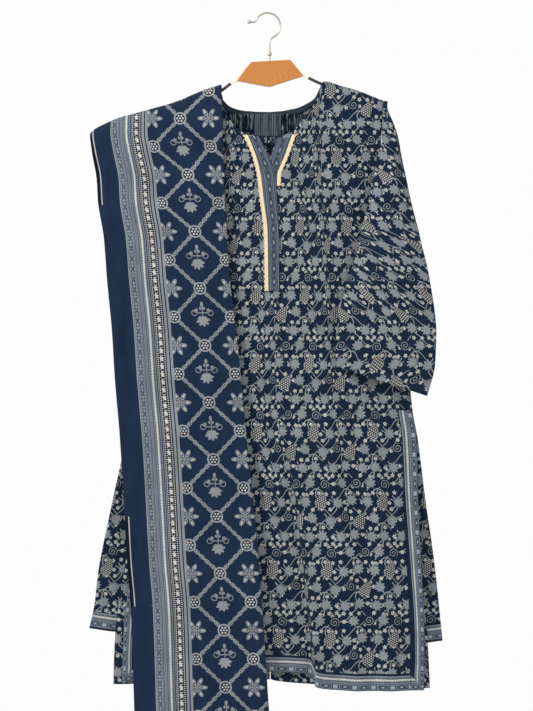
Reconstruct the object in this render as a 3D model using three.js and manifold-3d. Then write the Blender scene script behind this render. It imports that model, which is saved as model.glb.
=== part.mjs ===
// Salwar kameez suit with its dupatta, hung on a wire hanger with a wooden plate.
// Millimetres, +Z up, the front faces -Y, and the origin is the inner top of the hanger's hook.
// "drop" is the distance below the origin, and "share" runs across a panel from left (-X) to right (+X).
import * as THREE from "three";
import Module from "manifold-3d";

const CLOTH = 1.4; // wall of the kameez and the salwar
const SEAM = 0.4; // gap between pieces that are sewn together
const TRIM = 1.0; // wall of the bands, laces and borders
const LIFT = 0.5; // gap between a trim and the panel under it
const BORDER = 30; // height of the hem borders
const SLIT_BORDER = 26; // width of the borders beside the slits
const SLIT_TOP = 700; // drop where the side seams end and the slits begin
const LACE = 7; // width of the lace
const DUPATTA_WALL = 1.2;
const LAYERS_WALL = 1.8; // the three inner layers of the folded dupatta together
const FALL = 1140; // length of each fall of the dupatta from the shoulder
const WIRE = 1.9; // radius of the hanger's arms
const GRIP = 2.6; // radius of the rubber grips on the arms
const HOOK_WIRE = 1.7; // radius of the hook's wire
const HOOK_BEND = 22.7; // radius of the hook's bend, to the middle of the wire
const PLATE_THICK = 12;

const NAVY = 0x1c304e;
const GREY_BLUE = 0x7d8c9b;
const CREAM = 0xfae4be;
const SCARF = 0x203458;

const mix = (a, b, t) => a + (b - a) * t;
const clamp = (t) => Math.min(1, Math.max(0, t));
const ease = (t) => clamp(t) ** 2 * (3 - 2 * clamp(t));

// Reads one column of a table whose first column rises. It is smooth, and doesn't overshoot.
function read(table, key, column = 1) {
  const last = table.length - 1;
  if (key <= table[0][0]) return table[0][column];
  if (key >= table[last][0]) return table[last][column];
  let i = 0;
  while (key > table[i + 1][0]) i += 1;
  const slope = (j) => (table[j + 1][column] - table[j][column]) / (table[j + 1][0] - table[j][0]);
  const tangent = (j) => {
    if (j === 0) return slope(0);
    if (j === last) return slope(last - 1);
    const before = slope(j - 1);
    const after = slope(j);
    return before * after <= 0 ? 0 : (2 * before * after) / (before + after);
  };
  const width = table[i + 1][0] - table[i][0];
  const t = (key - table[i][0]) / width;
  return (
    table[i][column] * (1 + 2 * t) * (1 - t) ** 2 +
    table[i + 1][column] * t * t * (3 - 2 * t) +
    width * t * (1 - t) * (tangent(i) * (1 - t) - tangent(i + 1) * t)
  );
}

// ---- Walls of cloth ----

// A skin is a grid of points with a normal each. side is 1 when rows x columns already face out, or -1.
function skinOf(rows, columns, at, side, ring = false) {
  const points = [];
  for (let i = 0; i <= rows; i += 1)
    for (let j = 0; j < columns + (ring ? 0 : 1); j += 1) points.push(at(i, j));
  const across = columns + (ring ? 0 : 1);
  const index = (i, j) => i * across + (ring ? (j + columns) % columns : j);
  const normals = points.map((_, k) => {
    const i = Math.floor(k / across);
    const j = k % across;
    const left = ring ? j - 1 : Math.max(0, j - 1);
    const right = ring ? j + 1 : Math.min(columns, j + 1);
    const u = points[index(i, right)].clone().sub(points[index(i, left)]).normalize();
    const v = points[index(Math.min(rows, i + 1), j)].clone();
    v.sub(points[index(Math.max(0, i - 1), j)]).normalize();
    return u.cross(v).normalize().multiplyScalar(side);
  });
  return { points, normals, index, side, rows, columns };
}

// The triangles of the cells of a skin between two rows and two columns.
function cells(skin, row0 = 0, row1 = skin.rows, column0 = 0, column1 = skin.columns) {
  const faces = [];
  for (let i = row0; i < row1; i += 1)
    for (let j = column0; j < column1; j += 1) {
      const a = skin.index(i, j);
      const b = skin.index(i, j + 1);
      const c = skin.index(i + 1, j + 1);
      const d = skin.index(i + 1, j);
      if (skin.side > 0) faces.push([a, b, c], [a, c, d]);
      else faces.push([a, c, b], [a, d, c]);
    }
  return faces;
}

// A closed wall between two offsets from a skin, with a rim along every free edge.
function wall(name, skin, faces, inner, outer, colour, roughness = 0.9) {
  const used = [...new Set(faces.flat())];
  const place = new Map(used.map((k, n) => [k, n]));
  const positions = [];
  for (const offset of [outer, inner])
    for (const k of used) {
      const p = skin.points[k].clone().addScaledVector(skin.normals[k], offset);
      positions.push(p.x, p.y, p.z);
    }
  const back = used.length;
  const indices = [];
  const edges = new Map();
  for (const face of faces) {
    const [a, b, c] = face.map((k) => place.get(k));
    indices.push(a, b, c, back + a, back + c, back + b);
    for (const [p, q] of [
      [a, b],
      [b, c],
      [c, a],
    ])
      edges.set(p + "," + q, [p, q]);
  }
  for (const [p, q] of edges.values())
    if (!edges.has(q + "," + p)) indices.push(q, p, back + p, q, back + p, back + q);
  return meshOf(name, positions, indices, colour, roughness);
}

function meshOf(name, positions, indices, colour, roughness, metalness = 0) {
  const geometry = new THREE.BufferGeometry();
  geometry.setAttribute("position", new THREE.Float32BufferAttribute(positions, 3));
  geometry.setIndex(indices);
  geometry.computeVertexNormals();
  const material = new THREE.MeshStandardMaterial({ color: colour, roughness, metalness });
  const mesh = new THREE.Mesh(geometry, material);
  mesh.name = name;
  return mesh;
}

const suit = new THREE.Group();
suit.name = "salwar_kameez_suit";

// ---- Kameez: outline ----

// drop, x of the armhole and the side seam
const UPPER_RIGHT = [
  [152, 202],
  [195, 200.5],
  [240, 199],
  [290, 199.5],
  [330, 205],
  [365, 214],
  [530, 234],
  [662, 251],
  [700, 255],
];
const UPPER_LEFT = [
  [170, -193],
  [210, -192],
  [255, -190],
  [305, -190.5],
  [345, -196],
  [380, -205],
  [540, -221],
  [698, -236],
];
const FRONT_RIGHT = [...UPPER_RIGHT, [744, 261], [852, 264], [957, 269], [1100, 275], [1186, 274]];
const FRONT_LEFT = [...UPPER_LEFT, [760, -240], [960, -241], [1013, -245], [1080, -252], [1173, -255]];
const BACK_RIGHT = [...UPPER_RIGHT, [744, 264], [849, 277.5], [957, 293], [1028, 301], [1103, 308.5]];
const BACK_LEFT = [...UPPER_LEFT, [777, -255.5], [886, -279.5], [979, -298], [1038, -305], [1082, -314.5]];

// share, drop of the shoulder seams and the neck edge
const FRONT_TOP = [
  [0, 170],
  [0.05, 163],
  [0.12, 153],
  [0.2, 141],
  [0.276, 129.8],
  [0.288, 160],
  [0.325, 189],
  [0.362, 205],
  [0.405, 215],
  [0.452, 216],
  [0.5, 254],
  [0.522, 232],
  [0.536, 217.5],
  [0.592, 212],
  [0.618, 202],
  [0.645, 188],
  [0.672, 175],
  [0.71, 150],
  [0.739, 118.5],
  [0.82, 127.5],
  [0.89, 135],
  [0.95, 144.5],
  [1, 152],
];
const BACK_TOP = [
  [0, 170],
  [0.05, 163],
  [0.12, 153],
  [0.2, 141],
  [0.276, 129.8],
  [0.29, 149],
  [0.33, 163],
  [0.38, 168.5],
  [0.44, 170.5],
  [0.5, 171],
  [0.56, 169],
  [0.62, 164],
  [0.665, 156],
  [0.7, 146],
  [0.72, 130],
  [0.739, 118.5],
  [0.82, 127.5],
  [0.89, 135],
  [0.95, 144.5],
  [1, 152],
];
// share, drop of the hem
const FRONT_HEM = [
  [0, 1173],
  [0.15, 1166],
  [0.4, 1153],
  [0.505, 1156],
  [0.522, 1159],
  [0.536, 1176],
  [0.592, 1181],
  [0.75, 1185],
  [1, 1186],
];
const BACK_HEM = [
  [0, 1080],
  [0.08, 1087],
  [0.5, 1096],
  [0.93, 1107],
  [1, 1102],
];
const NECK_LEFT = 0.276;
const NECK_RIGHT = 0.739;

// ---- Kameez: how far the panels stand off the middle plane ----

// drop, front and back at the sides, then how much more in the middle, front and back
const STAND = [
  [118, 8, 8, 6, 2],
  [180, 8, 8, 9, 3],
  [250, 10, 9, 11, 4],
  [320, 7, 6, 15, 8],
  [366, 1.1, 1.1, 20.9, 13.9],
  [690, 1.1, 1.1, 18.9, 14],
  [780, 9, 8, 12, 8],
  [1186, 10, 10, 12, 6],
];
// distance below a shoulder seam, share of the full stand-off, where the cloth rounds the hanger's arm
const SHOULDER_ROLL = [
  [0, 0.11],
  [5, 0.78],
  [12, 1],
];
// The long pleat of the front: drop, share where it lies, depth of its step
const PLEAT = [
  [555, 0.529, 0],
  [700, 0.53, 5],
  [850, 0.572, 12],
  [980, 0.598, 18],
  [1142, 0.636, 24],
];
// Soft folds. share at the top, share at the foot, drop at the top, width, height
const FRONT_FOLDS = [
  [0.67, 0.71, 470, 0.035, 5],
  [0.84, 0.86, 640, 0.04, 6],
];
const BACK_FOLDS = [
  [0.2, 0.16, 560, 0.06, 4],
  [0.44, 0.44, 480, 0.06, 4],
  [0.68, 0.72, 520, 0.06, 4],
];

const fold = (share, drop, folds) =>
  folds.reduce((sum, [top, foot, start, width, height]) => {
    const t = clamp((drop - start) / (1180 - start));
    const away = (share - mix(top, foot, t)) / width;
    return sum + height * ease(t * 2.5) * Math.exp(-away * away);
  }, 0);

// The x of a share at a drop. The pleat draws the front's shares to the right as it deepens.
function frontX(share, drop) {
  const left = read(FRONT_LEFT, drop);
  const right = read(FRONT_RIGHT, drop);
  const pleat = read(PLEAT, drop) / 0.529;
  const moved = share < 0.529 ? share * pleat : 1 - ((1 - share) * (1 - 0.529 * pleat)) / 0.471;
  const x = mix(left, right, moved);
  const slit = ease((drop - 600) / 95);
  if (share <= 0.05) return mix(x, left + (SLIT_BORDER * share) / 0.05, slit);
  if (share >= 0.95) return mix(x, right - (SLIT_BORDER * (1 - share)) / 0.05, slit);
  return x;
}

function roll(share, below) {
  return share <= NECK_LEFT || share >= NECK_RIGHT ? read(SHOULDER_ROLL, below) : 1;
}

function frontY(share, drop, below = 99) {
  const lens = 1 - Math.abs(2 * share - 1) ** 2.6;
  const depth = read(PLEAT, drop, 2);
  const step =
    share >= 0.529
      ? 0.6 * depth * Math.exp(-(share - 0.536) / 0.12)
      : -0.4 * depth * Math.exp(-(0.522 - share) / 0.2);
  const stand = read(STAND, drop, 1) + lens * read(STAND, drop, 3) + step + fold(share, drop, FRONT_FOLDS);
  return -stand * roll(share, below);
}

function backY(share, drop, below = 99) {
  const lens = 1 - Math.abs(2 * share - 1) ** 2.6;
  const stand = read(STAND, drop, 2) + lens * read(STAND, drop, 4) + fold(share, drop, BACK_FOLDS);
  return stand * roll(share, below);
}

// The rows of a panel: first by distance below its top edge, then by share of the rest, and the border last.
const TOP_ROWS = [0, 5, 12, 28, 55];
const slitRow = (top, hem) => (SLIT_TOP - top - 55) / (hem - BORDER - top - 55);

function panel(tops, hems, x, y, side, rowShares) {
  const shares = tops.map((row) => row[0]);
  const rows = TOP_ROWS.length + rowShares.length;
  const at = (i, j) => {
    const share = shares[j];
    const top = tops[j][1];
    const hem = read(hems, share);
    let drop = hem;
    if (i < TOP_ROWS.length) drop = top + TOP_ROWS[i];
    else if (i < rows) drop = mix(top + 55, hem - BORDER, rowShares[i - TOP_ROWS.length]);
    return new THREE.Vector3(x(share, drop), y(share, drop, drop - top), -drop);
  };
  return skinOf(rows, shares.length - 1, at, side);
}

const frontSlit = slitRow(FRONT_TOP.at(-1)[1], FRONT_HEM.at(-1)[1]);
const FRONT_ROWS = [0.05, 0.1, 0.17, 0.25, 0.33, 0.42, frontSlit, 0.6, 0.68, 0.76, 0.84, 0.92, 1];
const front = panel(FRONT_TOP, FRONT_HEM, frontX, frontY, -1, FRONT_ROWS);

const backX = (share, drop) => mix(read(BACK_LEFT, drop), read(BACK_RIGHT, drop), share);
const BACK_ROWS = [0.06, 0.13, 0.2, 0.3, 0.42, 0.54, 0.66, 0.77, 0.88, 1];
const back = panel(BACK_TOP, BACK_HEM, backX, backY, 1, BACK_ROWS);

const half = CLOTH / 2;
suit.add(wall("kameez_front", front, cells(front), -half, half, NAVY));
suit.add(wall("kameez_back", back, cells(back), -half, half, NAVY));

// ---- Borders, made from the panels' own points ----

const onPanel = [half + LIFT, half + LIFT + TRIM];
const slitStart = TOP_ROWS.length + FRONT_ROWS.indexOf(frontSlit);

// The corners are mitred, so each border stops a seam's width short of the other.
function mitred(skin, moves) {
  const points = skin.points.map((p) => p.clone());
  for (const [k, dx, dz] of moves) {
    points[k].x += dx;
    points[k].z += dz;
  }
  return { ...skin, points };
}

const lastRow = front.rows;
const lastColumn = front.columns;
const hemSkin = mitred(front, [
  [front.index(lastRow - 1, 1), SEAM, 0],
  [front.index(lastRow - 1, lastColumn - 1), -SEAM, 0],
]);
const corner = (skin, column0, flip) => {
  const a = skin.index(lastRow - 1, column0);
  const b = skin.index(lastRow - 1, column0 + 1);
  const c = skin.index(lastRow, column0 + 1);
  const d = skin.index(lastRow, column0);
  return flip ? { hem: [b, d, c], slit: [a, d, b] } : { hem: [a, d, c], slit: [a, c, b] };
};
const leftCorner = corner(front, 0, true);
const rightCorner = corner(front, lastColumn - 1, false);
const hemFaces = [...cells(front, lastRow - 1, lastRow, 1, lastColumn - 1), leftCorner.hem, rightCorner.hem];
suit.add(wall("front_hem_border", hemSkin, hemFaces, ...onPanel, GREY_BLUE));

for (const [name, column, faces] of [
  ["front_slit_border_left", 0, leftCorner.slit],
  ["front_slit_border_right", lastColumn - 1, rightCorner.slit],
]) {
  const outerColumn = column === 0 ? 0 : lastColumn;
  const innerColumn = column === 0 ? 1 : lastColumn - 1;
  const skin = mitred(front, [
    [front.index(lastRow, outerColumn), 0, 2 * SEAM],
    [front.index(lastRow - 1, innerColumn), 0, SEAM],
  ]);
  const strip = cells(front, slitStart, lastRow - 1, column, column + 1);
  suit.add(wall(name, skin, [...strip, faces], ...onPanel, GREY_BLUE));
}

suit.add(wall("back_hem_border", back, cells(back, back.rows - 1, back.rows), ...onPanel, GREY_BLUE));

const facingColumns = [NECK_LEFT, NECK_RIGHT].map((share) => BACK_TOP.findIndex((row) => row[0] === share));
const facingFaces = cells(back, 0, 1, facingColumns[0] + 1, facingColumns[1] - 1);
suit.add(wall("back_neck_facing", back, facingFaces, -half - 0.3 - TRIM, -half - 0.3, GREY_BLUE));

// ---- Placket bands and laces, on the front panel ----

// drop, left edge, right edge
const BAND_LEFT = [
  [217, -33, -15.5],
  [240, -23.6, -4],
  [256, -18, 3.2],
  [289, -10.5, 14.2],
  [323, -6.5, 16.5],
  [389, 1, 20.4],
  [487, 2.3, 21],
];
const BAND_RIGHT = [
  [219.5, 18.5, 40.5],
  [240, 11, 33.4],
  [255, 5.5, 27.8],
  [271, 10.4, 21],
  [283, 13.7, 16.6],
];
const LACE_LEFT = [
  [214.5, -41.8, -34.6],
  ...BAND_LEFT.slice(1).map(([drop, left]) => [drop, left - LACE - 0.6, left - 0.6]),
];
const LACE_RIGHT = [
  [214, 43.2, 49.6],
  ...BAND_RIGHT.map(([drop, , right]) => [drop, right + 0.6, right + 0.6 + LACE]),
  [304, 16.6, 21.6],
];

function strip(name, table, colour) {
  const drops = table.map((row) => row[0]);
  const rows = [];
  for (let i = 0; i + 1 < drops.length; i += 1) {
    const parts = Math.ceil((drops[i + 1] - drops[i]) / 34);
    for (let k = 0; k < parts; k += 1) rows.push(mix(drops[i], drops[i + 1], k / parts));
  }
  rows.push(drops.at(-1));
  const at = (i, j) => {
    const drop = rows[i];
    const x = read(table, drop, 1 + j);
    const left = read(FRONT_LEFT, drop);
    const share = (x - left) / (read(FRONT_RIGHT, drop) - left);
    return new THREE.Vector3(x, frontY(share, drop), -drop);
  };
  const skin = skinOf(rows.length - 1, 1, at, -1);
  suit.add(wall(name, skin, cells(skin), ...onPanel, colour));
}
strip("placket_band_left", BAND_LEFT, GREY_BLUE);
strip("placket_band_right", BAND_RIGHT, GREY_BLUE);
strip("lace_left", LACE_LEFT, CREAM);
strip("lace_right", LACE_RIGHT, CREAM);

// ---- Sleeves ----

// Each section runs from the front of the armhole, round the inner fold, across the front, round the outer
// fold and back to the armhole. Below the armpit its two ends meet at the underarm seam.
// drop, seam x, seam front, seam back, inner fold x, outer fold x, front, back (distances towards the viewer)
const SLEEVE_RIGHT = [
  [153, 202.9, 0.9, -0.9, 203.6, 205.6, 1.6, -1.6],
  [158, 202.8, 6, -6, 203.4, 208, 6.6, -6.6],
  [172, 202.2, 8, -8, 203.6, 212.5, 11, -9],
  [195, 201.3, 9, -8.6, 204, 222, 16, -10],
  [220, 201.8, 11, -10, 202.4, 229.5, 20, -10],
  [250, 201.3, 12.4, -10.4, 193, 234.5, 26, -9],
  [290, 201.8, 11.8, -8.8, 184, 242.5, 32, -6],
  [330, 207.5, 9.4, -6.6, 177, 250.5, 36, -2],
  [362, 217, 4.6, -2.4, 169, 258, 38, 4],
  [382, 211.5, 15, 13.4, 164, 263, 39, 13],
  [402, 186, 21, 20.2, 159, 267, 40, 22],
  [440, 169, 26.4, 25.6, 151, 277, 42, 26],
  [475, 159, 28.4, 27.6, 141, 284, 42, 28],
  [505, 151, 28.4, 27.6, 135, 289.5, 42, 28],
  [538, 142, 28.4, 27.6, 124, 293, 42, 28],
  [590, 136, 28.8, 28, 120, 291, 41, 28.4],
  [645, 133, 29.4, 28.6, 119, 277, 40, 29],
];
const SLEEVE_LEFT = [
  [171, -193.9, 0.9, -0.9, -194.6, -196.6, 1.6, -1.6],
  [176, -193.8, 6, -6, -194.4, -199, 6.6, -6.6],
  [190, -193.3, 8, -8, -194.6, -204, 10, -9],
  [215, -194.1, 11, -10, -195, -213, 14, -9],
  [245, -192.7, 12.4, -10.4, -190, -220, 18, -8],
  [285, -192.6, 11.8, -8.8, -182, -227, 22, -6],
  [325, -195.2, 9.8, -7.4, -172, -233, 24, -2],
  [360, -202.8, 7.4, -4.4, -165, -238, 26, 2],
  [377, -208.4, 4.8, -2.4, -160, -240, 26, 6],
  [397, -202.5, 14.6, 13, -154, -242, 27, 14],
  [425, -178, 18, 17.2, -148, -244, 28, 18],
  [465, -160, 19.4, 18.6, -138, -245, 29, 19.4],
  [520, -138, 20.4, 19.6, -120, -246, 30, 20.4],
  [580, -116, 20.4, 19.6, -100, -246, 30, 20.4],
  [645, -102, 20.4, 19.6, -86, -245, 30, 20.4],
];

// The points of one section, smoothly joined with two steps for each span.
function section(row, tilt, drop) {
  const [, seamX, seamFront, seamBack, inner, outer, reach, behind] = row;
  const sign = Math.sign(outer);
  const width = outer - inner;
  const pastSeam = sign * Math.max(sign * seamX + 8, sign * (inner + 0.35 * width));
  const controls = [
    [seamX, seamFront],
    [inner, mix(seamFront, reach, 0.55)],
    [inner + 0.26 * width, reach],
    [inner + 0.7 * width, reach],
    [outer, (reach + behind) / 2],
    [outer - 0.25 * width, behind],
    [pastSeam, mix(seamBack, behind, 0.5)],
    [seamX, seamBack],
  ];
  const points = [];
  controls.forEach((c, k) => {
    points.push(c);
    if (k + 1 === controls.length) return;
    const before = controls[Math.max(0, k - 1)];
    const next = controls[k + 1];
    const after = controls[Math.min(controls.length - 1, k + 2)];
    points.push([0, 1].map((a) => (9 * (c[a] + next[a]) - before[a] - after[a]) / 16));
  });
  const middle = (inner + outer) / 2;
  return points.map(([x, reachAt]) => new THREE.Vector3(x, -reachAt, -drop - tilt * sign * (x - middle)));
}

function sleeve(name, table, hemTilt) {
  const armpit = table[8][0];
  const hem = table.at(-1)[0];
  const sections = table.map((row) => section(row, hemTilt * ease((row[0] - armpit) / (hem - armpit)), row[0]));
  const side = Math.sign(table[0][1]);
  const skin = skinOf(sections.length - 1, sections[0].length - 1, (i, j) => sections[i][j], -side);
  suit.add(wall(name, skin, cells(skin), -half, half, NAVY));
}
sleeve("sleeve_right", SLEEVE_RIGHT, 0.32);
sleeve("sleeve_left", SLEEVE_LEFT, 0.1);

// ---- Salwar ----

const WAIST_TOP = 176;
const WAIST_FOOT = 215.4;
const WAIST_HALF = 67;
const WAIST_DEPTH = 5;
const GATHERS = 28;
const GATHER_DEPTH = 1.2;
const CROTCH = 610;
const MIDDLE_Y = 0.5;

const waist = skinOf(
  2,
  2 * GATHERS,
  (i, j) => {
    const turn = (Math.PI * j) / GATHERS;
    const out = (j % 2 ? 1 : -1) * GATHER_DEPTH;
    const x = (WAIST_HALF + out) * Math.sin(turn);
    const y = MIDDLE_Y - (WAIST_DEPTH + out) * Math.cos(turn);
    return new THREE.Vector3(x, y, -mix(WAIST_TOP, WAIST_FOOT, i / 2));
  },
  -1,
  true,
);
suit.add(wall("salwar_waistband", waist, cells(waist), -half, half, NAVY));

// drop, outer edge of the right leg, of the left leg, middle seam
const LEGS = [
  [216, 68, -68, 0],
  [260, 95, -95, 0],
  [330, 138, -136, 0],
  [420, 156, -150, 0],
  [600, 190, -182, 1],
  [800, 232, -220, 2],
  [950, 262, -247, 3],
  [1100, 281, -268, 4],
  [1184, 285, -271, 5],
];
const LEG_ROWS = [0, 0.03, 0.08, 0.15, 0.25, 0.36, 0.44, 0.52, 0.64, 0.76, 0.88, 1];
const LEG_COLUMNS = 18;
const LEG_DEPTH = 5.5;
const LEG_PLEAT = 1.6;

function leg(name, sign, hemMiddle, hemOuter) {
  const at = (i, j) => {
    const u = j / LEG_COLUMNS;
    const hem = mix(hemMiddle, hemOuter, Math.sin(Math.PI * u));
    const drop = mix(WAIST_FOOT + SEAM, hem, LEG_ROWS[i]);
    const outer = read(LEGS, drop, sign > 0 ? 1 : 2);
    const middle = read(LEGS, drop, 3) + sign * 0.9;
    const tube = ease((drop - CROTCH + 60) / 120);
    const out = mix(Math.sin(Math.PI * u), (1 - Math.cos(2 * Math.PI * u)) / 2, tube);
    const seam = mix(LEG_DEPTH, 0.9, tube) * Math.cos(Math.PI * u);
    const belly = LEG_DEPTH * Math.sin(2 * Math.PI * u) * tube;
    const pleat = LEG_PLEAT * Math.sin(Math.PI * 10 * u) * Math.sin(Math.PI * u) ** 2;
    return new THREE.Vector3(mix(middle, outer, out), MIDDLE_Y - seam - belly - pleat, -drop);
  };
  const skin = skinOf(LEG_ROWS.length - 1, LEG_COLUMNS, at, -sign);
  suit.add(wall(name, skin, cells(skin), -half, half, NAVY));
}
leg("salwar_leg_right", 1, 1168, 1184);
leg("salwar_leg_left", -1, 1168, 1177);

// ---- Dupatta ----

// drop, left edge, right edge of the front fall
const FALL_EDGES = [
  [126, -311, -81],
  [209, -311, -78],
  [240, -306.5, -76.7],
  [292, -296, -75],
  [332, -293.5, -73.5],
  [397, -283, -70.2],
  [467, -277.5, -65.2],
  [555, -269, -55],
  [642, -263.5, -46],
  [747, -254.5, -36],
  [877, -247, -22],
  [959, -242.5, -15],
  [1038, -236, -9],
  [1176, -231.5, 0],
  [1349, -226, 12],
];
// share across, drop of the top ridge
const RIDGE = [
  [0, 209.3],
  [0.035, 202],
  [0.11, 193],
  [0.21, 183],
  [0.35, 174],
  [0.5, 164.4],
  [0.62, 156.6],
  [0.91, 130],
  [1, 124.2],
];
// distance below the ridge, then how far in front and how far behind
const FALL_STAND = [
  [0, 0.3, 0.3],
  [1.5, 5.5, 5.5],
  [6, 12.5, 11],
  [14, 18.5, 14.5],
  [40, 24, 18],
  [100, 30, 19.5],
  [200, 34, 21],
  [330, 36.5, 23],
  [550, 36.5, 27],
  [800, 36.5, 31],
  [FALL, 35, 31],
];
const FALL_ROWS = [0, 1.5, 6, 14, 40, 100, 200, 330, 450, 570, 690, 810, 930, 1040, FALL];
const RIDGE_SHARES = [0, 0.035, 0.11, 0.21, 0.35, 0.5, 0.62, 0.77, 0.91, 1];
const RIPPLE = 2;

function fall(sign, inset, ridgeGap) {
  const at = (i, j) => {
    const share = RIDGE_SHARES[j];
    const drop = read(RIDGE, share) + FALL_ROWS[i];
    const left = read(FALL_EDGES, drop) + inset[0] * ease(FALL_ROWS[i] / 60);
    const right = read(FALL_EDGES, drop, 2) + inset[1] * ease(FALL_ROWS[i] / 60);
    const ripple = RIPPLE * Math.sin(9 * share + drop / 260) * ease((FALL_ROWS[i] - 150) / 300);
    const stand = read(FALL_STAND, FALL_ROWS[i], sign < 0 ? 1 : 2) + ripple + (i === 0 ? ridgeGap : 0);
    return new THREE.Vector3(mix(left, right, share), sign * stand, -drop);
  };
  return skinOf(FALL_ROWS.length - 1, RIDGE_SHARES.length - 1, at, sign);
}
const halfScarf = DUPATTA_WALL / 2;
const layersOut = -halfScarf - 0.3;
for (const [name, sign, inset] of [
  ["dupatta_front", -1, [0, 0]],
  ["dupatta_back", 1, [7, -4]],
]) {
  const outer = fall(sign, inset, 0);
  const inner = fall(sign, inset, 1);
  suit.add(wall(name + "_fall", outer, cells(outer), -halfScarf, halfScarf, SCARF));
  suit.add(wall(name + "_layers", inner, cells(inner), layersOut - LAYERS_WALL, layersOut, SCARF));
}

// ---- Hanger ----

const WOOD = 0xde9137;
const NICKEL = 0xa59b91;
const CREAM_PAINT = 0xe1dac8;
const RUBBER = 0x2d2319;

// Path points in the hanger's own plane: x, drop
const HOOK_STEM = 3.9;
const ARM_LEFT = [
  [-46, 113.5],
  [-65, 122.5],
  [-80, 134.2],
  [-97, 143.4],
  [-169, 167.6],
  [-188, 175.4],
];
const ARM_RIGHT = [
  [54, 106],
  [72, 112.6],
  [97, 124.2],
  [120, 131.6],
  [178, 149.4],
  [196, 157.2],
];
// x, drop of the plate's corners
const PLATE = [
  [-29.6, 85],
  [39.9, 81],
  [63.4, 109.2],
  [3.2, 128.6],
  [-54.8, 117.6],
];
const PLATE_CORNER = 4;
const PLATE_BEVEL = 1.5;

const inPlane = ([x, drop]) => new THREE.Vector3(x, 0, -drop);

// A round bar along points in the hanger's plane, with flat ends.
function bar(name, points, radius, colour, metalness, roughness, round = 10, tension = 0.5) {
  const path = new THREE.CatmullRomCurve3(points.map(inPlane), false, "catmullrom", tension);
  const disc = new THREE.Shape().absarc(0, 0, radius, 0, 2 * Math.PI);
  const geometry = new THREE.ExtrudeGeometry(disc, {
    steps: points.length * 4,
    curveSegments: round / 2,
    bevelEnabled: false,
    extrudePath: path,
  });
  const material = new THREE.MeshStandardMaterial({ color: colour, roughness, metalness });
  const mesh = new THREE.Mesh(geometry, material);
  mesh.name = name;
  return mesh;
}

const wasm = await Module();
wasm.setup();

function solid(geometry, position = [0, 0, 0], direction = null) {
  const placed = geometry.index ? geometry.toNonIndexed() : geometry.clone();
  if (direction) {
    const turn = new THREE.Quaternion().setFromUnitVectors(new THREE.Vector3(0, 1, 0), direction);
    placed.applyQuaternion(turn);
  }
  placed.translate(...position);
  const positions = placed.getAttribute("position").array;
  const vertices = [];
  const seen = new Map();
  const triangles = [];
  for (let i = 0; i < positions.length; i += 3) {
    const key = [0, 1, 2].map((k) => Math.round(positions[i + k] * 1e4)).join();
    if (!seen.has(key)) {
      seen.set(key, vertices.length / 3);
      vertices.push(positions[i], positions[i + 1], positions[i + 2]);
    }
    triangles.push(seen.get(key));
  }
  const mesh = new wasm.Mesh({
    numProp: 3,
    vertProperties: new Float32Array(vertices),
    triVerts: new Uint32Array(triangles),
  });
  return new wasm.Manifold(mesh);
}

function meshFrom(name, manifold, colour, metalness, roughness) {
  const mesh = manifold.getMesh();
  return meshOf(name, Array.from(mesh.vertProperties), Array.from(mesh.triVerts), colour, roughness, metalness);
}

const ballAt = (radius, x, drop) => solid(new THREE.SphereGeometry(radius, 16, 10), [x, 0, -drop]);
const boreAlong = (from, to, radius) => {
  const [a, b] = [inPlane(from), inPlane(to)];
  const along = b.clone().sub(a);
  const middle = a.clone().add(b).multiplyScalar(0.5);
  return solid(new THREE.CylinderGeometry(radius, radius, along.length(), 16), middle.toArray(), along.normalize());
};

// The hook: a ball at its tip, then the flared lead-in, the bend and the stem, which screws into the plate.
const hookPath = [
  [-31.5, 14.2],
  [-26, 14.6],
];
for (let degrees = 160; degrees >= -40; degrees -= 20) {
  const angle = (degrees * Math.PI) / 180;
  hookPath.push([HOOK_BEND * Math.cos(angle), HOOK_BEND - HOOK_WIRE - HOOK_BEND * Math.sin(angle)]);
}
hookPath.push([8, 42.5], [HOOK_STEM, 50], [HOOK_STEM, 66], [HOOK_STEM, 92]);
const hookBar = bar("hook", hookPath, HOOK_WIRE, NICKEL, 0.9, 0.35);
const hook = solid(hookBar.geometry).add(ballAt(3.4, -32.5, 14.2));
suit.add(meshFrom("hanger_hook", hook, NICKEL, 0.9, 0.35));

const COLLAR = 4;
const collar = ballAt(COLLAR, HOOK_STEM, 70.5).subtract(
  boreAlong([HOOK_STEM, 60], [HOOK_STEM, 80], HOOK_WIRE + 0.3),
);
suit.add(meshFrom("hook_collar", collar, NICKEL, 0.9, 0.35));

const outline = new THREE.Shape();
PLATE.forEach(([x, drop], k) => {
  const corner = new THREE.Vector2(x, -drop);
  const [before, after] = [PLATE.at(k - 1), PLATE[(k + 1) % PLATE.length]].map(
    ([a, b]) => new THREE.Vector2(a, -b),
  );
  const start = corner.clone().add(before.sub(corner).setLength(PLATE_CORNER));
  const end = corner.clone().add(after.sub(corner).setLength(PLATE_CORNER));
  if (k === 0) outline.moveTo(start.x, start.y);
  else outline.lineTo(start.x, start.y);
  outline.quadraticCurveTo(corner.x, corner.y, end.x, end.y);
});
outline.closePath();
const slab = new THREE.ExtrudeGeometry(outline, {
  depth: PLATE_THICK - 2 * PLATE_BEVEL,
  bevelThickness: PLATE_BEVEL,
  bevelSize: PLATE_BEVEL,
  bevelOffset: -PLATE_BEVEL,
  bevelSegments: 2,
  curveSegments: 4,
});
slab.translate(0, 0, -PLATE_THICK / 2 + PLATE_BEVEL);
slab.rotateX(Math.PI / 2);
const plate = solid(slab)
  .subtract(boreAlong([HOOK_STEM, 60], [HOOK_STEM, 93], HOOK_WIRE + 0.3))
  .subtract(boreAlong(ARM_LEFT[0], ARM_LEFT[1], WIRE + 0.4))
  .subtract(boreAlong(ARM_RIGHT[0], ARM_RIGHT[1], WIRE + 0.4));
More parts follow.
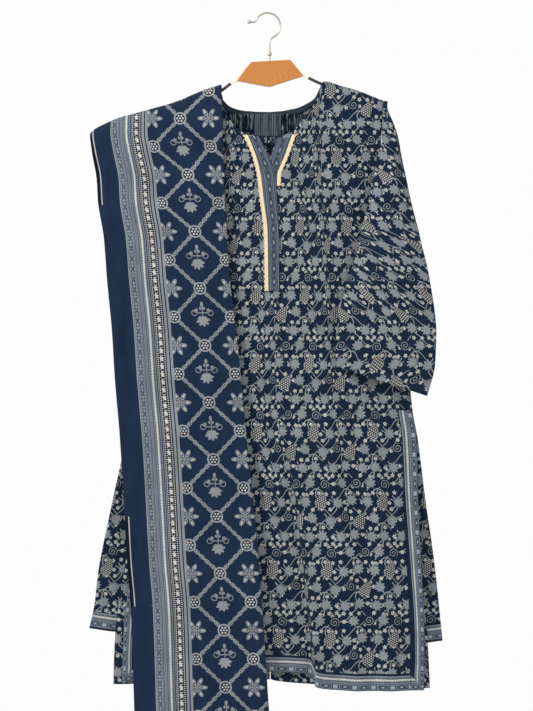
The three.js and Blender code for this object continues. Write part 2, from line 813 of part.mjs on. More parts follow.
suit.add(meshFrom("hanger_plate", plate, WOOD, 0, 0.5));

// Each arm is straight through the plate and bends under the cloth. The grip is a sleeve over its middle.
for (const [side, arm] of [
  ["left", ARM_LEFT],
  ["right", ARM_RIGHT],
]) {
  const wire = bar("hanger_arm_" + side, arm, WIRE, CREAM_PAINT, 0, 0.4, 10, 0.2);
  suit.add(wire);
  const middle = arm.slice(1, 5);
  const tube = bar("grip", middle, GRIP, RUBBER, 0, 0.7, 12, 0.2);
  const bore = bar("bore", arm, WIRE + 0.3, RUBBER, 0, 0.7, 10, 0.2);
  suit.add(meshFrom("arm_grip_" + side, solid(tube.geometry).subtract(solid(bore.geometry)), RUBBER, 0, 0.7));
}

export default suit;
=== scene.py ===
import math

import bpy
import numpy as np
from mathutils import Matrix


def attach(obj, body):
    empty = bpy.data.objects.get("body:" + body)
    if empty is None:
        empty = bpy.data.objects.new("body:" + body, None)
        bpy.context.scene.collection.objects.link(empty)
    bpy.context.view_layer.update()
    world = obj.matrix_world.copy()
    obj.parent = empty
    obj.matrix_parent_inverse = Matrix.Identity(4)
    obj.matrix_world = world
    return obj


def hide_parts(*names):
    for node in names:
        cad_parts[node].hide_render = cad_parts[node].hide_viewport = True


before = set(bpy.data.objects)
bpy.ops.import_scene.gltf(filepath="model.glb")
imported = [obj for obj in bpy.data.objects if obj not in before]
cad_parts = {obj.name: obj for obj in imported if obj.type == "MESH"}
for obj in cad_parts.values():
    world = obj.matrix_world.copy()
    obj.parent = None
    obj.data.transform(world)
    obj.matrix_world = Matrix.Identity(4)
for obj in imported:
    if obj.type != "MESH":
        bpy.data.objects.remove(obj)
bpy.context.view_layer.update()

MM = 0.001

# ---- Camera: 3.2 m in front of the suit, level with its middle ----

CAMERA_AWAY = 3.2
PICTURE_TALL = 1.2443  # height of the view at the front panel
MIDDLE_Z = -0.6

camera = bpy.data.objects.new("camera", bpy.data.cameras.new("camera"))
bpy.context.scene.collection.objects.link(camera)
camera.location = (-0.0018, -CAMERA_AWAY, MIDDLE_Z)
camera.rotation_euler = (math.pi / 2, 0, 0)
camera.data.sensor_width = 36
camera.data.lens = 36 * (CAMERA_AWAY - 0.012) / PICTURE_TALL
bpy.context.scene.camera = camera


# ---- Tables, in millimetres. "drop" is the distance below the hook, and "share" runs across a panel ----


def read(table, key, column=1):
    """Reads a column of a table at the keys, smoothly and without overshoot."""
    table = np.array(table, float)
    x, y = table[:, 0], table[:, column]
    key = np.clip(np.asarray(key, float), x[0], x[-1])
    i = np.clip(np.searchsorted(x, key, side="right") - 1, 0, len(x) - 2)
    slope = np.diff(y) / np.diff(x)
    before, after = slope[:-1], slope[1:]
    both = np.where(before + after == 0, 1, before + after)
    inner = np.where(before * after > 0, 2 * before * after / both, 0)
    tangent = np.concatenate([slope[:1], inner, slope[-1:]])
    width = x[i + 1] - x[i]
    t = (key - x[i]) / width
    return (
        y[i] * (1 + 2 * t) * (1 - t) ** 2
        + y[i + 1] * t * t * (3 - 2 * t)
        + width * t * (1 - t) * (tangent[i] * (1 - t) - tangent[i + 1] * t)
    )


def mix(a, b, t):
    return a + (b - a) * t


def ease(t):
    t = np.clip(t, 0, 1)
    return t * t * (3 - 2 * t)


BORDER, SLIT_BORDER, SLIT_TOP, LACE = 30, 26, 700, 7
UPPER_RIGHT = [
    (152, 202), (195, 200.5), (240, 199), (290, 199.5),
    (330, 205), (365, 214), (530, 234), (662, 251), (700, 255),
]
UPPER_LEFT = [
    (170, -193), (210, -192), (255, -190),
    (305, -190.5), (345, -196), (380, -205), (540, -221), (698, -236),
]
FRONT_RIGHT = UPPER_RIGHT + [(744, 261), (852, 264), (957, 269), (1100, 275), (1186, 274)]
FRONT_LEFT = UPPER_LEFT + [(760, -240), (960, -241), (1013, -245), (1080, -252), (1173, -255)]
BACK_RIGHT = UPPER_RIGHT + [(744, 264), (849, 277.5), (957, 293), (1028, 301), (1103, 308.5)]
BACK_LEFT = UPPER_LEFT + [(777, -255.5), (886, -279.5), (979, -298), (1038, -305), (1082, -314.5)]
# share, drop of the shoulder seams and the neck edge
LEFT_SHOULDER = [(0, 170), (0.05, 163), (0.12, 153), (0.2, 141), (0.276, 129.8)]
RIGHT_SHOULDER = [(0.739, 118.5), (0.82, 127.5), (0.89, 135), (0.95, 144.5), (1, 152)]
FRONT_TOP = LEFT_SHOULDER + [
    (0.288, 160), (0.325, 189), (0.362, 205), (0.405, 215), (0.452, 216), (0.5, 254), (0.522, 232), (0.536, 217.5),
    (0.592, 212), (0.618, 202), (0.645, 188), (0.672, 175), (0.71, 150),
] + RIGHT_SHOULDER
BACK_TOP = LEFT_SHOULDER + [
    (0.29, 149), (0.33, 163), (0.38, 168.5), (0.44, 170.5), (0.5, 171), (0.56, 169), (0.62, 164), (0.665, 156),
    (0.7, 146), (0.72, 130),
] + RIGHT_SHOULDER
FRONT_HEM = [
    (0, 1173), (0.15, 1166), (0.4, 1153), (0.505, 1156), (0.522, 1159), (0.536, 1176), (0.592, 1181),
    (0.75, 1185), (1, 1186),
]
BACK_HEM = [(0, 1080), (0.08, 1087), (0.5, 1096), (0.93, 1107), (1, 1102)]
NECK_LEFT, NECK_RIGHT = 0.276, 0.739
# drop, front and back stand-off at the sides, then how much more in the middle, front and back
STAND = [
    (118, 8, 8, 6, 2), (180, 8, 8, 9, 3), (250, 10, 9, 11, 4), (320, 7, 6, 15, 8), (366, 1.1, 1.1, 20.9, 13.9),
    (690, 1.1, 1.1, 18.9, 14), (780, 9, 8, 12, 8), (1186, 10, 10, 12, 6),
]
SHOULDER_ROLL = [(0, 0.11), (2, 0.42), (5, 0.78), (12, 1)]
PLEAT_SHARE, HEM_DROP, SLIT_SHARE = 0.529, 1180, 0.05
# drop, share where the long pleat lies, depth of its step
PLEAT = [(555, 0.529, 0), (700, 0.53, 5), (850, 0.572, 12), (980, 0.598, 18), (1142, 0.636, 24)]
# share at the top, share at the foot, drop at the top, width, height
FRONT_FOLDS = [(0.67, 0.71, 470, 0.035, 5), (0.84, 0.86, 640, 0.04, 6)]
BACK_FOLDS = [(0.2, 0.16, 560, 0.06, 4), (0.44, 0.44, 480, 0.06, 4), (0.68, 0.72, 520, 0.06, 4)]
# Creases listed one by one: x and drop of one end, x and drop of the other, half width, height (below 0 is a
# trough)
FRONT_CREASES = [
    (60, 520, 96, 760, 7, -1.6), (72, 540, 118, 900, 9, 1.5), (140, 700, 150, 1010, 9, -1.6),
    (158, 690, 172, 1120, 10, 1.4), (205, 720, 214, 980, 8, -1.3), (36, 560, 60, 900, 7, 1.8),
    (24, 640, 52, 880, 5, -2.2), (90, 880, 104, 1150, 9, -1.5), (120, 300, 190, 250, 8, -1.2),
    (95, 380, 180, 300, 9, 1.1), (60, 420, 150, 390, 10, -1.0), (28, 500, 110, 520, 9, 0.9),
    (-20, 760, 10, 1120, 8, -1.5), (2, 900, 30, 1140, 7, 1.6), (110, 560, 220, 610, 9, -0.9),
    (190, 1000, 200, 1160, 8, 1.2), (232, 1040, 236, 1150, 6, -1.0), (-30, 300, -34, 480, 9, 1.0),
    (70, 200, 92, 330, 8, 1.0), (150, 170, 176, 260, 8, -1.1), (44, 330, 56, 470, 8, -0.9),
]
BACK_CREASES = [
    (-60, 500, -90, 1000, 12, -2), (20, 420, 10, 900, 13, 1.8), (110, 560, 150, 1060, 12, -1.8),
    (-150, 640, -190, 1050, 11, 1.6), (180, 700, 220, 1080, 10, 1.6), (60, 700, 70, 1080, 11, -1.5),
    (-120, 260, -60, 420, 12, -1.2), (130, 250, 70, 420, 12, -1.2), (0, 220, -8, 400, 12, 1.1),
]


def creases(x, drop, table):
    """The height that the listed creases add at each point. Each is soft at its ends and bends a little."""
    total = np.zeros(np.broadcast(x, drop).shape)
    for n, (x0, d0, x1, d1, width, height) in enumerate(table):
        along = np.array([x1 - x0, d1 - d0], float)
        length = np.hypot(*along)
        along /= length
        t = ((x - x0) * along[0] + (drop - d0) * along[1]) / length
        away = (x - x0) * along[1] - (drop - d0) * along[0] + 0.03 * length * np.sin(5.1 * t + 1.7 * n)
        away = away / (width * (0.8 + 0.4 * np.clip(t, 0, 1)))
        ends = ease((t + 0.12) / 0.3) * ease((1.12 - t) / 0.35)
        uneven = 0.75 + 0.25 * np.sin(9 * t + n)
        total += height * ends * uneven * (np.exp(-away * away) - 0.35 * np.exp(-((away - 1.9) ** 2)))
    return total


def fold(share, drop, folds):
    total = 0
    for top, foot, start, width, height in folds:
        t = np.clip((drop - start) / (HEM_DROP - start), 0, 1)
        total = total + height * ease(t * 2.5) * np.exp(-(((share - mix(top, foot, t)) / width) ** 2))
    return total


def front_x(share, drop):
    left, right = read(FRONT_LEFT, drop), read(FRONT_RIGHT, drop)
    pleat = read(PLEAT, drop) / PLEAT_SHARE
    past = 1 - (1 - share) * (1 - PLEAT_SHARE * pleat) / (1 - PLEAT_SHARE)
    moved = np.where(share < PLEAT_SHARE, share * pleat, past)
    x = mix(left, right, moved)
    slit = ease((drop - 600) / 95)
    x = np.where(share <= SLIT_SHARE, mix(x, left + SLIT_BORDER * share / SLIT_SHARE, slit), x)
    inner = right - SLIT_BORDER * (1 - share) / SLIT_SHARE
    return np.where(share >= 1 - SLIT_SHARE, mix(x, inner, slit), x)


def roll(share, below):
    return np.where((share <= NECK_LEFT) | (share >= NECK_RIGHT), read(SHOULDER_ROLL, below), 1)


def lens(share):
    return 1 - np.abs(2 * share - 1) ** 2.6


def front_y(share, drop, below=99):
    depth = read(PLEAT, drop, 2)
    right = 0.6 * depth * np.exp(-np.maximum(share - 0.536, 0) / 0.12)
    left = -0.4 * depth * np.exp(-np.maximum(0.522 - share, 0) / 0.2)
    step = mix(left, right, ease((share - 0.522) / 0.014))
    stand = read(STAND, drop, 1) + lens(share) * read(STAND, drop, 3)
    stand = stand + step + fold(share, drop, FRONT_FOLDS)
    wrinkle = creases(front_x(share, drop), drop, FRONT_CREASES) * ease((below - 10) / 60)
    return -stand * roll(share, below) - wrinkle


def back_x(share, drop):
    return mix(read(BACK_LEFT, drop), read(BACK_RIGHT, drop), share)


def back_y(share, drop, below=99):
    stand = read(STAND, drop, 2) + lens(share) * read(STAND, drop, 4) + fold(share, drop, BACK_FOLDS)
    wrinkle = creases(back_x(share, drop), drop, BACK_CREASES) * ease((below - 10) / 60)
    return stand * roll(share, below) + wrinkle


# ---- Materials ----


class Shade:
    """Builds a material's number nodes from Python expressions."""

    def __init__(self, name, ground=None, roughness=0.85):
        self.colour = ground
        self.material = bpy.data.materials.new(name)
        self.material.use_nodes = True
        self.tree = self.material.node_tree
        self.surface = self.tree.nodes["Principled BSDF"]
        self.surface.inputs["Roughness"].default_value = roughness

    def node(self, kind, **settings):
        made = self.tree.nodes.new(kind)
        for key, value in settings.items():
            setattr(made, key, value)
        return made

    def put(self, socket, value):
        if isinstance(value, Number):
            self.tree.links.new(value.socket, socket)
        elif isinstance(value, bpy.types.NodeSocket):
            self.tree.links.new(value, socket)
        else:
            socket.default_value = value

    def math(self, operation, *values, clamp=False):
        made = self.node("ShaderNodeMath", operation=operation, use_clamp=clamp)
        for socket, value in zip(made.inputs, values):
            self.put(socket, value)
        return Number(self, made.outputs[0])

    def uv(self):
        parts = self.node("ShaderNodeSeparateXYZ")
        self.tree.links.new(self.node("ShaderNodeUVMap", uv_map="cloth").outputs[0], parts.inputs[0])
        return Number(self, parts.outputs[0]), Number(self, parts.outputs[1])

    def vector(self, x, y, z=0.0):
        made = self.node("ShaderNodeCombineXYZ")
        for socket, value in zip(made.inputs, (x, y, z)):
            self.put(socket, value)
        return made.outputs[0]

    def chance(self, x, y, seed):
        """Three even random numbers for a cell."""
        made = self.node("ShaderNodeTexWhiteNoise", noise_dimensions="3D")
        self.put(made.inputs[0], self.vector(x, y, seed))
        parts = self.node("ShaderNodeSeparateColor")
        self.put(parts.inputs[0], made.outputs["Color"])
        return [Number(self, parts.outputs[k]) for k in range(3)]

    def noise(self, x, y, scale, detail=2.0, seed=0.0):
        made = self.node("ShaderNodeTexNoise", noise_dimensions="3D")
        self.put(made.inputs["Vector"], self.vector(x, y, seed))
        made.inputs["Scale"].default_value = scale
        made.inputs["Detail"].default_value = detail
        return Number(self, made.outputs["Fac"])

    def blend(self, share, a, b):
        made = self.node("ShaderNodeMix", data_type="RGBA")
        self.put(made.inputs[0], share)
        self.put(made.inputs[6], a)
        self.put(made.inputs[7], b)
        return made.outputs[2]

    def paint(self, share, colour):
        """Lays a colour over what is painted so far, as far as the share says."""
        self.colour = self.blend(share, self.colour, colour)

    def scale(self, colour, share):
        made = self.node("ShaderNodeVectorMath", operation="SCALE")
        self.put(made.inputs[0], colour[:3] if isinstance(colour, tuple) else colour)
        self.put(made.inputs[3], share)
        return made.outputs[0]

    def bump(self, height, strength, distance):
        made = self.node("ShaderNodeBump")
        made.inputs["Strength"].default_value = strength
        made.inputs["Distance"].default_value = distance
        self.put(made.inputs["Height"], height)
        self.tree.links.new(made.outputs[0], self.surface.inputs["Normal"])


def operator(operation, swapped=False):
    """Makes a Python operator that adds a math node."""

    def apply(self, other):
        return self.shade.math(operation, *((other, self) if swapped else (self, other)))

    return apply


class Number:
    """A number that a node works out. & keeps the lower of two and | the higher."""

    __add__ = __radd__ = operator("ADD")
    __mul__ = __rmul__ = operator("MULTIPLY")
    __sub__ = operator("SUBTRACT")
    __rsub__ = operator("SUBTRACT", swapped=True)
    __pow__ = operator("POWER")
    __lt__ = operator("LESS_THAN")
    __gt__ = operator("GREATER_THAN")
    __and__ = operator("MINIMUM")
    __or__ = operator("MAXIMUM")

    def __init__(self, shade, socket):
        self.shade, self.socket = shade, socket

    def of(self, operation, *others):
        return self.shade.math(operation, self, *others)

    @property
    def floor(self):
        return self.of("FLOOR")

    @property
    def fract(self):
        return self.of("FRACT")

    @property
    def abs(self):
        return self.of("ABSOLUTE")

    def between(self, low, high):
        return (self > low) & (self < high)

    def repeat(self, size):
        """The place within a repeat of that size, 0 in its middle."""
        return ((self * (1 / size)).fract - 0.5) * size

    def cycle(self, count):
        """Which of that many slots this falls in, over and over."""
        return self.floor.of("FLOORED_MODULO", float(count))

    def soft(self, edge, width):
        """1 where this is below edge, fading to 0 over a width."""
        return self.shade.math("MULTIPLY_ADD", self, -1.0 / width, edge / width + 0.5, clamp=True)


def srgb(r, g, b):
    linear = [(c / 255 / 12.92) if c <= 10 else ((c / 255 + 0.055) / 1.055) ** 2.4 for c in (r, g, b)]
    return (*linear, 1.0)


FULL_TURN = 2 * math.pi
TONE = 0.66  # dyed cotton takes in a good part of the light that falls on it
NAVY = srgb(21, 39, 60)
MOTIF = srgb(140, 148, 153)
LIGHT = srgb(196, 197, 190)
STEM = srgb(160, 166, 166)
GREY_BLUE = srgb(122, 134, 145)
BAND_GREY = srgb(97, 107, 120)
SCARF_NAVY = srgb(27, 45, 69)
SCARF_GREY = srgb(146, 151, 154)
SCARF_WHITE = srgb(208, 208, 200)
LACE_CREAM = srgb(216, 197, 163)
NAVY_DARK = srgb(12, 23, 37)


def distance(x, y):
    return (x * x + y * y) ** 0.5


def oval(x, y, half_wide, half_tall):
    """1 on the edge of an oval, less inside it."""
    return distance(x * (1 / half_wide), y * (1 / half_tall))


def turned(x, y, angle):
    c, s = angle.of("COSINE"), angle.of("SINE")
    return x * c + y * s, y * c - x * s


def rose(x, y, points, radius, least, power=1.0):
    """1 inside a shape with that many points round it. least is the share of the radius between points."""
    angle = y.of("ARCTAN2", x)
    wave = ((angle * (points / FULL_TURN) + 0.5).fract - 0.5).abs * -2.0 + 1.0
    edge = (wave ** power) * (radius * (1 - least)) + radius * least
    r = distance(x, y)
    return (r - edge).soft(0, 0.9), r


def cloth_finish(shade, u, v, thread=1100.0, wear=0.1):
    """Adds the weave, slight fading and a soft sheen to a printed colour."""
    fade = shade.noise(u, v, 9.0, 3.0) * (2 * wear) + (1 - wear)
    weft, warp = shade.noise(u * 0.12, v, 900.0, 1.0, 3.0), shade.noise(u, v * 0.12, 900.0, 1.0, 7.0)
    slub = weft * 0.12 + warp * 0.12 + 0.88
    # Broad random patches, darker and lighter, over the whole cloth.
    mottle = shade.noise(u * 1.6, v * 0.8, 24.0, 5.0, 9.0) * 0.7 + 0.65
    shade.put(shade.surface.inputs["Base Color"], shade.scale(shade.colour, fade * slub * mottle * TONE))
    weave = (u * (thread * math.pi)).of("SINE") * (v * (thread * math.pi)).of("SINE")
    shade.bump(weave + shade.noise(u, v, 260.0, 2.0, 2.0) * 2.0, 0.25, 0.0003)
    shade.surface.inputs["Sheen Weight"].default_value = 0.02
    shade.surface.inputs["Sheen Roughness"].default_value = 0.5
    shade.surface.inputs["Specular IOR Level"].default_value = 0.08
    shade.surface.inputs["Roughness"].default_value = 0.88
    return shade.material


TILE_U, TILE_V, SLOTS = 113.0, 120.0, 4


def vine_print():
    """Leaves, grape clusters, curls and small flowers on wavy stems, in a repeat of four by four slots."""
    shade = Shade("vine_print", NAVY)
    u, v = shade.uv()
    a, b = u * (1000 * SLOTS / TILE_U), v * (1000 * SLOTS / TILE_V)
    wide, tall = TILE_U / SLOTS, TILE_V / SLOTS

    stems = None
    for along, across, size, phase, sway in ((a, b, tall, 0.4, 0.36), (b, a + (b * 0.5), wide, 1.9, 0.33)):
        wavy = across + (along * math.pi + phase).of("SINE") * sway
        line = (((wavy + phase).fract - 0.5).abs * size).soft(0.8, 0.6)
        stems = line if stems is None else stems | line
    gap = (((a * 0.5 + b * 0.5 + 0.37).fract - 0.5).abs).soft(0.40, 0.02)
    stems = stems & gap

    shifted = a + b.cycle(2) * 0.5
    kind, turn, nudge = shade.chance(shifted.cycle(SLOTS), b.cycle(SLOTS), 11.0)
    is_leaf, is_bunch, is_curl = kind < 0.60, kind.between(0.60, 0.86), kind > 0.86
    x0 = (shifted.fract - 0.5) * wide + (nudge - 0.5) * 6.5
    y0 = (b.fract - 0.5) * tall + ((turn * 7.0).fract - 0.5) * 7.5
    x, y = turned(x0, y0, turn * FULL_TURN)

    # A leaf has nine points and is round where its stalk joins it.
    angle = y.of("ARCTAN2", x)
    r = distance(x, y)
    ray = ((angle * (9 / FULL_TURN) + 0.5).fract - 0.5).abs
    reach = (((ray * -2.0 + 1.0) ** 0.8) * 4.9 + 5.9) * (angle.of("COSINE") * 0.13 + 0.93)
    reach = reach.of("MAXIMUM", (x < 0.0) * 6.6)
    leaf = (r - reach).soft(0, 0.7) & is_leaf
    stalk = y.abs.soft(0.75, 0.5) & (x > -15.0) & (x < 0.0) & is_leaf
    stems = stems | stalk
    vein = (ray * r).soft(0.18, 0.3) & (r < 7.0)

    # A bunch narrows to its tip and is filled with pips.
    gx, gy = turned(x0, y0, (turn - 0.5) * 1.6)
    taper = ((gy * gy) * (-1 / 200.0) + 1.0).of("MAXIMUM", 0.0) ** 0.6 * (gy * 0.032 + 1.0) * 8.4
    bunch = (gx.abs - taper).soft(0, 0.6) & is_bunch
    pip_wide, pip_tall = 4.1, 3.6
    px, py = gx * (1 / pip_wide), gy * (1 / pip_tall)
    px = px + py.cycle(2) * 0.5
    pip = distance((px.fract - 0.5) * pip_wide, (py.fract - 0.5) * pip_tall).soft(1.3, 0.5)
    rim = (gx.abs - taper - 0.4).abs.soft(0.2, 0.4) & is_bunch

    # A curl is a spiral tendril.
    spiral = ((r * (1 / 4.4) - angle * (1 / FULL_TURN)).fract - 0.5).abs
    curl = spiral.soft(0.11, 0.1) & (r < 8.6) & is_curl

    # Small flowers and buds stand at the corners between the slots and half-way along them.
    def flowers(fa, fb, seed, size, least):
        one, two, three = shade.chance(fa.cycle(2 * SLOTS), fb.cycle(2 * SLOTS), seed)
        fx = (fa.fract - 0.5) * (wide / 2) + (two - 0.5) * 5.0
        fy = (fb.fract - 0.5) * (tall / 2) + (three - 0.5) * 5.0
        fx, fy = turned(fx, fy, two * FULL_TURN)
        petals, fr = rose(fx, fy, 5, size, 0.45, 0.7)
        return petals & (one > least) & (fr > 0.75)

    flower = flowers(a * 2 + 0.5, b * 2 + 0.5, 23.0, 3.9, 0.30)
    buds = flowers(a * 2, b * 2 + 0.25, 37.0, 3.1, 0.62)

    shade.paint(stems, STEM)
    shade.paint((buds | flower) & (leaf * -1.0 + 1.0), LIGHT)
    around_leaf = (r - reach - 1.3).soft(0, 0.3) & is_leaf
    around_bunch = (gx.abs - taper - 1.6).soft(0, 0.3) & is_bunch
    shade.paint(around_leaf | around_bunch | ((r < 10.2) & is_curl), NAVY)
    shade.paint(stalk & (r - reach - 1.3 > 0.0), STEM)
    shade.paint(leaf, MOTIF)
    shade.paint(leaf & vein, srgb(126, 135, 141))
    shade.paint(bunch, NAVY_DARK)
    shade.paint((bunch & pip) | rim, LIGHT)
    shade.paint(curl, STEM)
    return cloth_finish(shade, u, v)


def stripes(shade, across, edge, rows):
    """Lines along the cloth. Each row is a place, a half width and a colour."""
    for at, width, tone in rows:
        shade.paint((across - at).abs.soft(width, edge), srgb(*tone))


def scallop(shade, along, u, v):
    """The wavy edge of a white line, a little uneven, as a block leaves it."""
    return (along * (math.pi / 2.6)).of("SINE") * 0.8 + (shade.noise(u, v, 420.0, 1.0, 5.0) - 0.5) * 1.6


def border_print():
    """v runs inwards from the edge: brackets and blocks, stripes, then a scalloped white line. u runs along it."""
    shade = Shade("border_print", GREY_BLUE)
    u, v = shade.uv()
    x, y = u * 1000.0, v * 1000.0
    row_at = 6.2
    place, middle = x.repeat(34.0), (y - row_at).abs
    # An oval between two brackets, then a plain block.
    round_oval = oval(place + 8.5, y - row_at, 2.0, 1.0)
    beside = (place - 8.5).abs
    ring = (round_oval - 2.7).abs.soft(0.8, 0.4) & (middle < 3.6)
    bracket = ((place + 8.5).abs - 8.2).abs.soft(0.9, 0.4) & (middle < 3.4)
    post = (beside - 5.4).abs.soft(0.85, 0.4) & (middle < 3.8)
    dots = distance(place.repeat(4.0), middle - 3.0).soft(0.7, 0.4) & (beside > 5.0)
    pale = round_oval.soft(1.0, 0.4) | (beside.soft(3.4, 0.4) & (middle < 2.2))
    in_row = y.between(1.6, 11.0)
    shade.paint((ring | bracket | post | dots) & in_row, srgb(52, 64, 84))
    shade.paint(pale & in_row, srgb(168, 176, 182))
    stripes(shade, y, 0.4, (
        (1.0, 0.5, (84, 96, 110)), (11.2, 0.5, (76, 88, 104)), (13.0, 0.35, (94, 106, 120)),
        (15.4, 0.6, (62, 75, 94)), (23.2, 0.5, (76, 88, 106)), (25.0, 0.45, (150, 157, 162)),
    ))
    shade.paint((y - 21.2).abs.soft(1.0, 0.5) & ((x * (1 / 5.2)).fract > 0.42), NAVY_DARK)
    shade.paint((y + scallop(shade, x, u, v) - 18.9).abs.soft(1.35, 0.6), srgb(214, 214, 206))
    shade.paint(y.between(26.0, 60.0), NAVY)
    shade.paint(y < 0.4, NAVY)
    return cloth_finish(shade, u, v, wear=0.08)


def band_print():
    """The placket band: brackets and dots down its middle between fine lines. v runs across, 0 in the middle."""
    shade = Shade("band_print", BAND_GREY)
    u, v = shade.uv()
    x, y = u * 1000.0, v * 1000.0
    away, place = y.abs, x.repeat(23.0)
    round_oval = oval(place, y, 2.0, 1.0)
    ring = (round_oval - 3.2).abs.soft(0.75, 0.4)
    bracket = (place.abs - 8.6).abs.soft(0.6, 0.4) & (away < 3.8)
    post = (place.abs - 10.6).abs.soft(0.45, 0.4) & (away < 2.4)
    shade.paint(ring | bracket | post, srgb(44, 56, 76))
    shade.paint(round_oval.soft(1.5, 0.5), srgb(140, 149, 157))
    stripes(shade, away, 0.4, ((5.4, 0.4, (58, 70, 90)), (7.0, 0.35, (126, 136, 146)), (8.8, 0.6, (50, 62, 82))))
    return cloth_finish(shade, u, v, wear=0.06)


MARGIN = 37.0
LATTICE_LEFT, LATTICE_TOP, DIAMOND = 109.0, 236.0, 99.0


def scarf_print():
    """Bands beside a plain margin, then a lattice of chains with dotted rounds, leaves and flowers."""
    shade = Shade("scarf_print", SCARF_NAVY)
    u, v = shade.uv()
    x, y = u * 1000.0, v * 1000.0
    s = x - MARGIN

    # The lattice's own axes run along its chains.
    p = (x - LATTICE_LEFT) * (1 / DIAMOND) + (y - LATTICE_TOP) * (1 / DIAMOND)
    q = (x - LATTICE_LEFT) * (1 / DIAMOND) - (y - LATTICE_TOP) * (1 / DIAMOND)
    side = DIAMOND / math.sqrt(2)
    chain_light, chain_dark = None, None
    for along, across in ((p, q), (q, p)):
        off = ((across + 0.5).fract - 0.5) * side
        step = (along.fract - 0.5).abs
        inside = step < 0.35
        link = ((along.fract * 5.7 + 0.15).fract - 0.5) * (side / 5.7)
        ring = oval(link, off, 6.4, 3.3)
        light, dark = ring.soft(1.0, 0.1) & inside, ring.soft(0.66, 0.1) & (ring > 0.36) & inside
        chain_light = light if chain_light is None else chain_light | light
        chain_dark = dark if chain_dark is None else chain_dark | dark

    nx = ((p + 0.5).fract - 0.5 + ((q + 0.5).fract - 0.5)) * (DIAMOND / 2)
    ny = ((p + 0.5).fract - 0.5 - ((q + 0.5).fract - 0.5)) * (DIAMOND / 2)
    nr = distance(nx, ny)
    field = x > 102.0
    shade.paint(chain_light & field, srgb(152, 156, 156))
    shade.paint(chain_dark & field, srgb(84, 97, 116))
    shade.paint(nr.soft(10.9, 0.6) & field, srgb(160, 165, 167))
    shade.paint(nr.soft(8.5, 0.6) & field, srgb(20, 34, 62))
    petal = (ny.of("ARCTAN2", nx) * (6 / FULL_TURN) + 0.5).fract - 0.5
    dot = distance(nr - 5.0, petal * 5.2).soft(1.6, 0.5) | nr.soft(1.6, 0.5)
    shade.paint(dot & (nr < 7.6) & field, SCARF_WHITE)

    # A flower stands in the diamonds of the outer columns and a leaf with tendrils in those between.
    mx = (p.fract - 0.5 + (q.fract - 0.5)) * (DIAMOND / 2)
    my = (p.fract - 0.5 - (q.fract - 0.5)) * (DIAMOND / 2)
    which = (p.floor + q.floor).of("FLOORED_MODULO", 2.0)
    in_flower, in_leaf = which.between(0.5, 1.5) & field, (which < 0.5) & field
    mr = distance(mx, my)
    ray = ((my.of("ARCTAN2", mx) * (6 / FULL_TURN) + 0.5).fract - 0.5) * (FULL_TURN / 6) * mr
    blade = oval(mr - 11.4, ray, 7.2, 3.7)
    flower = blade.soft(1.0, 0.12) | (ray.abs.soft(0.5, 0.4) & (mr < 6.0)) | (mr - 3.2).abs.soft(0.5, 0.4)
    shade.paint(flower & in_flower, SCARF_GREY)
    shade.paint(blade.soft(0.68, 0.14) & in_flower, srgb(92, 104, 122))
    shade.paint(oval(mr - 12.6, ray, 2.9, 1.5).soft(1.0, 0.2) & in_flower, srgb(196, 197, 190))

    ly = my - 5.0
    pointed, lr = rose(mx, ly, 9, 12.6, 0.60, 0.8)
    leaf = (pointed & (ly > -2.0)) | ((lr - 8.4).soft(0, 0.8) & (ly < 0.0) & ((ly * -1.0) < 6.0))
    loop = (distance(mx.abs - 14.0, my + 7.0) - 4.6).abs.soft(0.65, 0.5) & ((mx.abs > 13.0) | (my > -7.0))
    arm = (my + 7.6 - mx.abs * 0.28 + (mx.abs * mx.abs) * 0.03).abs.soft(0.8, 0.5) & (mx.abs < 15.0)
    small, _ = rose(mx.abs - 10.5, my + 11.5, 5, 3.7, 0.5, 0.8)
    stalk = (mx - 0.5).abs.soft(0.7, 0.4) & my.between(-20.0, -2.0)
    bud = oval(mx, my + 22.0, 2.5, 4.2).soft(1.0, 0.15)
    side_bud = oval(mx.abs - 3.0, my + 15.0, 1.9, 2.6).soft(1.0, 0.15)
    shade.paint((leaf | loop | arm | small | stalk | bud | side_bud) & in_leaf, SCARF_GREY)

    # Small scrolls hold the first column's rounds to the double line.
    stub = ((y - LATTICE_TOP) * (1 / DIAMOND) + 0.5).fract - 0.5
    shade.paint((stub * DIAMOND).abs.soft(9.0, 0.5) & x.between(101.0, 103.6), SCARF_GREY)

    # The bands, from the margin inwards.
    place = y.repeat(18.0)
    shade.paint(s.between(0.0, 34.0), srgb(128, 137, 145))
    hook = (distance((place.abs - 4.6) * 0.8, s - 7.6) - 2.5).abs.soft(0.8, 0.4) & (place.abs > 3.4)
    beads = distance(place, (s - 7.6).abs - 2.6).soft(1.35, 0.4)
    rungs = (y * (1 / 3.0)).fract.between(0.0, 0.42) & (s - 7.6).abs.between(5.2, 6.4)
    shade.paint((hook | beads | rungs) & s.between(0.5, 15.0), srgb(44, 56, 76))
    stripes(shade, s, 0.5, (
        (0.5, 0.6, (158, 164, 168)), (15.4, 0.6, (62, 74, 94)), (18.6, 0.5, (88, 99, 114)),
        (21.6, 0.7, (66, 78, 98)), (24.4, 0.6, (94, 105, 120)), (31.6, 0.6, (70, 82, 102)),
    ))
    shade.paint((s - 29.8).abs.soft(1.0, 0.4) & ((y * (1 / 5.2)).fract > 0.42), srgb(20, 32, 56))
    shade.paint((s + scallop(shade, y, u, v) - 27.6).abs.soft(1.35, 0.6), srgb(216, 215, 206))
    shade.paint((s - 35.0).abs.soft(1.2, 0.3), SCARF_NAVY)
